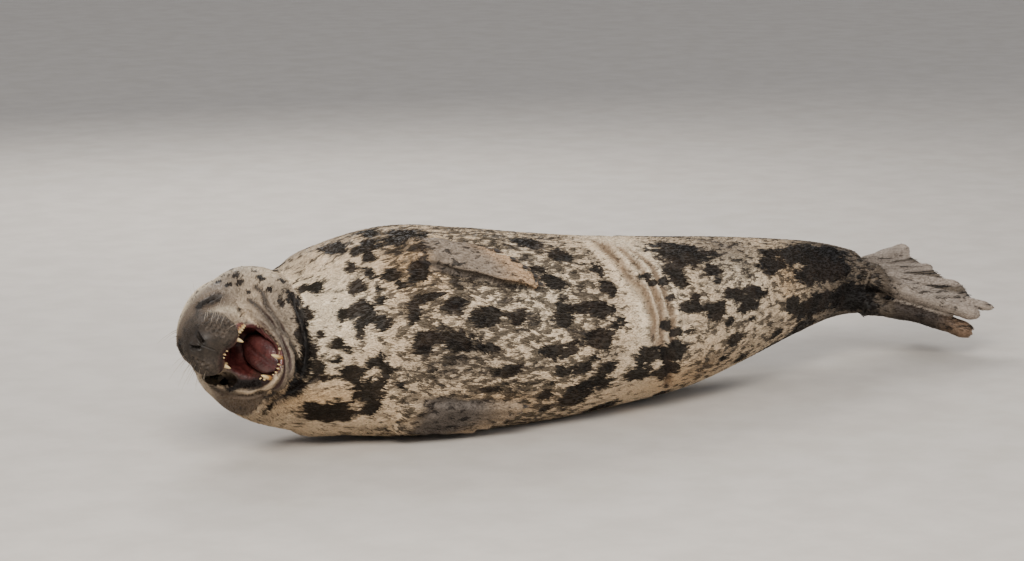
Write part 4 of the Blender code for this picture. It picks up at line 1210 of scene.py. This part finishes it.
def horn_material():
    """Claws: dark horn, paler and worn at the tip, ringed by growth."""
    net = Net("horn")
    grain = net.noise(net.here(), 380.0, 4.0, 0.6, (0.3, 1, 1))
    worn = net.step(net.line(grain, 0.4, net.read("crown")), 0.75, 1.15)
    colour = net.mix(worn, (0.030, 0.023, 0.018), (0.210, 0.150, 0.100))
    return net.end(colour, net.line(grain, 0.25, 0.25), net.bump(grain, 0.0003, 0.6))


def bristle_material():
    """Whiskers: pale stiff bristle, browner at the root."""
    net = Net("bristle")
    grain = net.noise(net.here(), 500.0, 3.0)
    outer = net.step(net.line(grain, 0.4, net.read("crown")), 0.2, 0.7)
    colour = net.mix(outer, (0.070, 0.050, 0.035), (0.40, 0.33, 0.25))
    return net.end(colour, net.line(grain, 0.2, 0.3), net.bump(grain, 0.0001, 0.4))


ENAMEL, HORN, BRISTLE = enamel_material(), horn_material(), bristle_material()
print("materials", len(bpy.data.materials))


# %% [markdown]
# ## Skin and eyes
# The skin takes the place of every node of flesh. An eye is a wet dark ball, set as deep as the
# lids need, and the nearly closed lids hide all of it but a line. A disc would do for that line,
# but a full ball meets the lids at every angle.

# %% Skin and eyeballs
def finish_piece(item, material, slot, **values):
    """Give a piece its material and attributes, and let it ride on the body; the slot is not used."""
    item.data.materials.clear()
    item.data.materials.append(material)
    for name, value in values.items():
        value = np.asarray(value, np.float32)
        kind, key = {1: ("FLOAT", "value"), 3: ("FLOAT_VECTOR", "vector"),
                     4: ("FLOAT_COLOR", "color")}[1 if value.ndim == 1 else value.shape[1]]
        item.data.attributes.new(name, kind, "POINT").data.foreach_set(key, value.ravel())
    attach(item, "root")
    return item


def crown_of(t, count):
    """Share of the height at each point of a closed tube whose rows have heights t."""
    return np.r_[np.repeat(t, count), t[0], t[-1]]


FLESH = ("head", "lower_jaw", "neck", "chest", "abdomen", "hindquarters", "tail", "fore_flipper_left",
         "fore_flipper_right", "hind_flipper_left", "hind_flipper_right")
skin = finish_piece(make("skin", verts, faces), SKIN_PAINT, "coat", **attributes)
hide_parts(*FLESH)
for name, side in (("left", 1), ("right", -1)):
    eye_verts, eye_faces = head_ball(EYE_AT * (1, side, 1), np.full(3, EYE_RADIUS), rows=32, count=48)
    eye = finish_piece(make("eyeball_" + name, eye_verts, eye_faces), EYE_PAINT, "eye")
    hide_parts("eye_" + name)
print("skin", len(skin.data.polygons), "triangles, an eye", len(eye.data.polygons))

# %% [markdown]
# ## Mouth, teeth and claws
# The tongue lies in the floor of the jaw with a furrow along its middle. Each tooth is a cone
# bent a little backwards, rooted in a gum that follows the row. Each digit ends in a claw. All
# are tubes, because a tube tapers by a formula where a primitive cone has straight sides.

# %% Tongue
TONGUE = mm([
    [8, 16, -2, -26], [35, 29, 6, -30], [70, 31, 4, -32], [98, 24, -4, -30], [116, 10, -12, -22],
])
UPPER_TEETH = mm([     # forward, sideways, root height, length, radius
    (118, 4, -44, 7, 2.6), (116, 11, -44, 7, 2.6), (112, 18, -43, 9, 3), (101, 28, -40, 27, 6.6),
    (86, 32, -43, 10, 4.6), (73, 35, -43, 10, 4.8), (60, 37, -43, 10, 4.8), (47, 39, -43, 9, 4.6),
    (35, 40, -43, 8, 4),
])
LOWER_TEETH = mm([
    (134, 4, -8, 7, 2.6), (131, 11, -8, 7, 2.6), (122, 22, -8, 21, 5.8), (107, 33, -13, 7, 4.2),
    (94, 38, -15, 7, 4.4), (81, 42, -14, 6, 4.4), (68, 44, -14, 6, 4.2), (55, 45, -13, 5, 3.6),
])
FURROW, FURROW_HALF, RIPPLE = 0.0035, 0.004, 0.0007
rings = sections(TONGUE, 60, 72)
top = np.clip(np.maximum(rings[..., 2] - rings[..., 2].mean(1, keepdims=True), 0) / 0.016, 0, 1)
rings[..., 2] -= FURROW * np.exp(-(rings[..., 1] / FURROW_HALF) ** 2) * top
rings[..., 2] += RIPPLE * np.sin(rings[..., 0] * 900) * np.sin(rings[..., 1] * 700) * top
tongue = finish_piece(make("tongue_flesh", *head_form(rings, GAPE)), MOUTH_PAINT, "mouth")
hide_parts("tongue")
print("tongue", len(tongue.data.polygons), "triangles")

# %% Gums and teeth
gums, teeth, crowns = [], [], []
for table, angle, way in ((UPPER_TEETH, 0.0, -1.0), (LOWER_TEETH, GAPE, 1.0)):
    row = np.vstack([table[::-1, :3], table[:, :3] * (1, -1, 1)])
    path, _ = line(row - np.array([0.001, 0, 0.0035 * way]), 0.0025)
    swell = 0.0046 + 0.0007 * np.sin(np.arange(len(path)) * 2.1)
    gum = tube(path, np.stack([swell, swell * 1.25], 1), (0, 0, 1.0), 20)
    gums.append(head_form(gum, angle))
    for ahead, out, height, length, radius in table:
        for side in (1, -1):
            t = np.linspace(-0.45, 1, 14)        # below 0 the root, in the gum
            shown = np.clip(t, 0, 1)
            bend = -0.16 * length * shown ** 2
            spine = np.stack([ahead + bend, np.full(len(t), out * side), height + way * length * t], 1)
            size = radius * np.sqrt(np.clip(1 - shown ** 1.7, 0.012, 1)) * (0.94 + 0.06 * np.cos(t * 3))
            teeth.append(head_form(tube(spine, np.stack([size, size * 0.80], 1), (0, 1.0, 0), 16), angle))
            crowns.append(crown_of(shown, 16))
finish_piece(make("gums", *gather(gums)), GUM_PAINT, "mouth")
finish_piece(make("teeth", *gather(teeth)), ENAMEL, "teeth", crown=np.concatenate(crowns))
print(len(teeth), "teeth")

# %% Claws
CLAWS = {"fore": (0.006, 0.021, 0.0042), "hind": (0.004, 0.009, 0.0028)}    # root, length, radius
claws, crowns = [], []
for name, path, radii, face in digits:
    root, length, radius = CLAWS[name[:4]]
    way, out = unit(path[-1] - path[-3]), face[-1]
    t = np.linspace(0, 1, 12)
    spine = path[-1] + way * (-root + (root + length) * t)[:, None] - out * (0.0035 * (t ** 2))[:, None]
    if name[:4] == "hind":
        spine = spine - way * 0.003
    size = radius * np.sqrt(np.clip(1 - t ** 2.2, 0.02, 1))
    claws.append(closed(tube(spine, np.stack([size, size * 0.85], 1), out, 14)))
    crowns.append(crown_of(t, 14))
finish_piece(make("claws", *gather(claws)), HORN, "claw", crown=np.concatenate(crowns))

print(len(claws), "claws")

# %% [markdown]
# ## Whiskers
# A whisker is a bristle about a millimetre thick that leaves its pit sideways and droops under
# its weight. Curves would be lighter, but only meshes are kept, so each is a tube that thins to
# a quarter. Every second pit has one, and three stand over each eye.

# %% Whiskers
picks = np.random.default_rng(12)
whiskers, crowns = [], []
PAD_WHISKER, BROW_WHISKER, WHISKER_RADIUS = 0.040, 0.034, 0.00042
BROWS = [(0.012, 0.030, 0.060), (0.004, 0.036, 0.060), (0.018, 0.040, 0.056)]
DROOP = np.array([0, 0, -1.0]) * 0.25 - AXES[0] * 0.25
roots = [(p, n, PAD_WHISKER) for p, n in zip(pit_at[::2], pit_out[::2])]
for spot in BROWS:
    for side in (1, -1):
        i = np.linalg.norm(head - np.array(spot) * (1, side, 1), axis=1).argmin()
        roots.append((verts[i], normals[i], BROW_WHISKER))
for root, out, usual in roots:
    length = usual * picks.uniform(0.55, 1.35)
    side_way = AXES[1] * np.sign(out @ AXES[1])
    way = unit(out * 0.75 + side_way * 0.45 - AXES[0] * picks.uniform(0.1, 0.6) + picks.normal(0, 0.12, 3))
    t = np.linspace(-0.05, 1, 10)
    shown = np.clip(t, 0, 1)
    spine = root + (way * t[:, None] + DROOP * (shown ** 2)[:, None]) * length
    size = WHISKER_RADIUS * (1 - 0.75 * shown)
    whiskers.append(closed(tube(spine, np.stack([size, size], 1), unit(np.cross(way, (0.3, 0.2, 0.9))), 6)))
    crowns.append(crown_of(shown, 6))
finish_piece(make("whiskers", *gather(whiskers)), BRISTLE, "whisker", crown=np.concatenate(crowns))
print(len(whiskers), "whiskers")

# %% [markdown]
# ## Coat
# Short fur that lies flat is mostly bump on the skin. Over it lie thin tufts: closed spindles
# of six faces, each rooted just under the skin, laid along the lie of the fur and lifting a
# little at the tip. They are drawn at random by area, small and close on the face and the
# flippers, longer on the trunk. All of a region's tufts are one mesh.

# %% A flat place for every tuft
REGIONS = {               # number of tufts, length, width, lift of the tip
    "head": (27000, 0.0062, 0.00062, 0.0008), "neck": (26000, 0.0100, 0.00085, 0.0013),
    "chest": (33000, 0.0105, 0.00095, 0.0013), "abdomen": (33000, 0.0105, 0.00095, 0.0012),
    "hindquarters": (33000, 0.0100, 0.00090, 0.0011), "flippers": (27000, 0.0068, 0.00070, 0.0008),
}
ROOT_DEPTH, OFF_FLOOR = 0.0008, 0.0003
SPINDLE = np.array([[0, 1, 2], [0, 2, 3], [0, 3, 1], [4, 2, 1], [4, 3, 2], [4, 1, 3]])
PATCH = np.array([[-1.0, 0.0], [0.0, 1.0], [0.0, -1.0], [0.3, 0.0], [1.0, 0.0]]) * 0.0015


def unwrap():
    """A flat place for every point: the trunk's share and turn, the head's and flippers' own."""
    u = 0.26 + 0.48 * share
    v = 0.02 + 0.96 * (turn / (2 * np.pi) + 0.5)
    around = np.arctan2(head[:, 1], head[:, 2] + 0.03) / (2 * np.pi) + 0.5
    is_head = in_head > 0.5
    u = np.where(is_head, 0.02 + 0.21 * np.clip((head[:, 0] + 0.10) / 0.26, 0, 1), u)
    v = np.where(is_head, 0.02 + 0.96 * around, v)
    for n, name in enumerate(("fore_left", "fore_right", "hind_left", "hind_right")):
        own = (flipper == name) & (limb > 0.4)
        spread = verts[own] @ unit(np.array([-0.2, 1.0, -0.5]))
        spread = (spread - spread.min()) / np.ptp(spread)
        under = ((normals[own] @ np.array([0.1, -0.35, 1.0])) < 0) * 0.5
        u[own] = 0.77 + 0.21 * limb_share[own]
        v[own] = 0.02 + 0.245 * n + 0.225 * (0.45 * spread + under)
    return np.stack([u, v], 1)


flat = unwrap()
print("unwrap", flat.min(0).round(3).tolist(), flat.max(0).round(3).tolist())

# %% Where the fur grows, and where it is short
corners = verts[faces]
area = np.linalg.norm(np.cross(corners[:, 1] - corners[:, 0], corners[:, 2] - corners[:, 0]), axis=1) / 2
mid = faces[:, 0]
furry = (1 - mouth) * (1 - lip) * (1 - ease(0.126, 0.140, head[:, 0])) * (1 - 0.8 * dots)
for amount in along_both(LID_SLIT, 0.0050) + along_both(NOSTRIL, 0.0060):
    furry *= 1 - amount
region = np.select([limb > 0.5, in_head > 0.5, share < 0.14, share < 0.36, share < 0.62],
                   ["flippers", "head", "neck", "chest", "abdomen"], "hindquarters")
small = 1 - 0.55 * ease(0.03, 0.10, head[:, 0]) * in_head
for rows, *_ in TRUNK_FOLDS:
    small *= 1 - 0.50 * along_curve(trunk_curve(rows), 0.014)
print("bare points", int((furry < 0.5).sum()))


# %% Tufts
def on_faces(chosen, weights):
    """A function that reads any array of the vertices at places inside the chosen triangles."""
    def read(values):
        return np.einsum("nk,nk...->n...", weights, values[chosen])
    return read


picks = np.random.default_rng(5)
for name, (count, length, width, lift) in REGIONS.items():
    count = count
    chance = area * furry[mid] * (region[mid] == name) / small[mid] ** 1.6
    pick = picks.choice(len(faces), count, p=chance / chance.sum())
    w = np.sort(picks.random((count, 2)), axis=1)
    at_root = on_faces(faces[pick], np.stack([w[:, 0], w[:, 1] - w[:, 0], 1 - w[:, 1]], 1))
    root, out, way = at_root(verts), unit(at_root(normals)), unit(at_root(lie))
    sway = (0.16 * np.sin(root @ (61, 83, 47)) + 0.10 * np.sin(root @ (-140, 90, 170))
            + picks.normal(0, 0.10, count))
    way = unit(way + np.cross(out, way) * sway[:, None])
    side_way = np.cross(out, way)
    scale = at_root(small) * picks.uniform(0.7, 1.25, count)
    far, broad = (length * scale)[:, None], (width * scale * picks.uniform(0.8, 1.2, count))[:, None]
    up = (lift * scale * picks.uniform(0.25, 1.2, count))[:, None]
    body = root + way * far * 0.38 + out * up * 0.42
    start = root - way * far * 0.12 - out * ROOT_DEPTH
    ridge = body + out * broad * 0.45 + out * 0.00012
    spindle = np.stack([start, body + side_way * broad, body - side_way * broad, ridge,
                        root + way * far + out * up], 1)
    spindle[..., 2] = np.maximum(spindle[..., 2], OFF_FLOOR)
    tufts = (SPINDLE + 5 * np.arange(count)[:, None, None]).reshape(-1, 3)
    carried = {key: np.repeat(at_root(value), 5, axis=0) for key, value in attributes.items()
               if key not in ("mouth", "bare")}
    item = finish_piece(make("coat_" + name, spindle.reshape(-1, 3), tufts), HAIR_PAINT, "coat",
                        tip=np.tile([0.0, 0.4, 0.4, 0.5, 1.0], count),
                        whim=np.repeat(picks.random(count), 5), **carried)
    uv = (at_root(flat)[:, None] + PATCH).reshape(-1, 2)[tufts.ravel()]
    item.data.uv_layers.new(name="OFBake").data.foreach_set("uv", uv.astype(np.float32).ravel())
    print("coat_" + name, count, "tufts")

# %% [markdown]
# ## Floor, light and camera
# A museum model stands on a plain pale floor. A large soft lamp shines from the left and above,
# with a wide fill from the camera's side and a rim from behind. One small lamp would be enough
# to see by, but its hard shadows would hide the folds and the fur. The camera looks down on the
# belly side from the animal's front left.

# %% Floor
FLOOR_SIZE = 60.0
bpy.ops.mesh.primitive_plane_add(size=FLOOR_SIZE)
floor = bpy.context.object
floor.name = "floor"
net = Net("pale_floor")
here = net.here()
grain = net.noise(here, 9.0, 6.0, 0.6)
colour = net.mix(net.step(grain, 0.3, 0.7), (0.50, 0.46, 0.41), (0.56, 0.52, 0.47))
relief = net.bump(net.noise(here, 160.0, 3.0), 0.001, 0.15)
floor.data.materials.append(net.end(colour, net.line(grain, 0.1, 0.75), relief))
print("floor", FLOOR_SIZE, "m")

# %% Lamps and sky
LAMPS = [        # name, place, aims at, size, power, colour
    ("key", (-2.6, -2.6, 3.0), (-0.3, 0.0, 0.2), 2.0, 235.0, (1.0, 0.955, 0.89)),
    ("fill", (1.2, -4.2, 2.2), (0.1, 0.0, 0.2), 3.0, 45.0, (0.93, 0.96, 1.0)),
    ("rim", (1.0, 3.0, 2.6), (0.1, 0.0, 0.25), 2.2, 120.0, (1.0, 0.97, 0.93)),
]
for name, spot, aim, size, power, colour in LAMPS:
    lamp = bpy.data.lights.new(name, "AREA")
    lamp.size, lamp.energy, lamp.color = size, power, colour
    item = bpy.data.objects.new(name, lamp)
    item.location = spot
    item.rotation_euler = (Vector(aim) - Vector(spot)).to_track_quat("-Z", "Y").to_euler()
    bpy.context.scene.collection.objects.link(item)
SKY, SKY_STRENGTH = (0.94, 0.95, 1.0, 1.0), 0.54
world = bpy.data.worlds.new("soft")
world.use_nodes = True
sky = world.node_tree.nodes["Background"].inputs
sky["Color"].default_value, sky["Strength"].default_value = SKY, SKY_STRENGTH
bpy.context.scene.world = world
print("lamps", len(LAMPS))

# %% Camera
CAMERA_AT, CAMERA_TURN = (-4.0587, -4.9088, 1.38), (79.926, 0.0, -38.0)
view = bpy.data.cameras.new("view")
view.lens, view.sensor_width = 112.5, 36.0
view.clip_end = 200.0
camera = bpy.data.objects.new("view", view)
camera.location = CAMERA_AT
camera.rotation_euler = tuple(np.radians(CAMERA_TURN))
bpy.context.scene.collection.objects.link(camera)
bpy.context.scene.camera = camera
print("camera", tuple(camera.location))
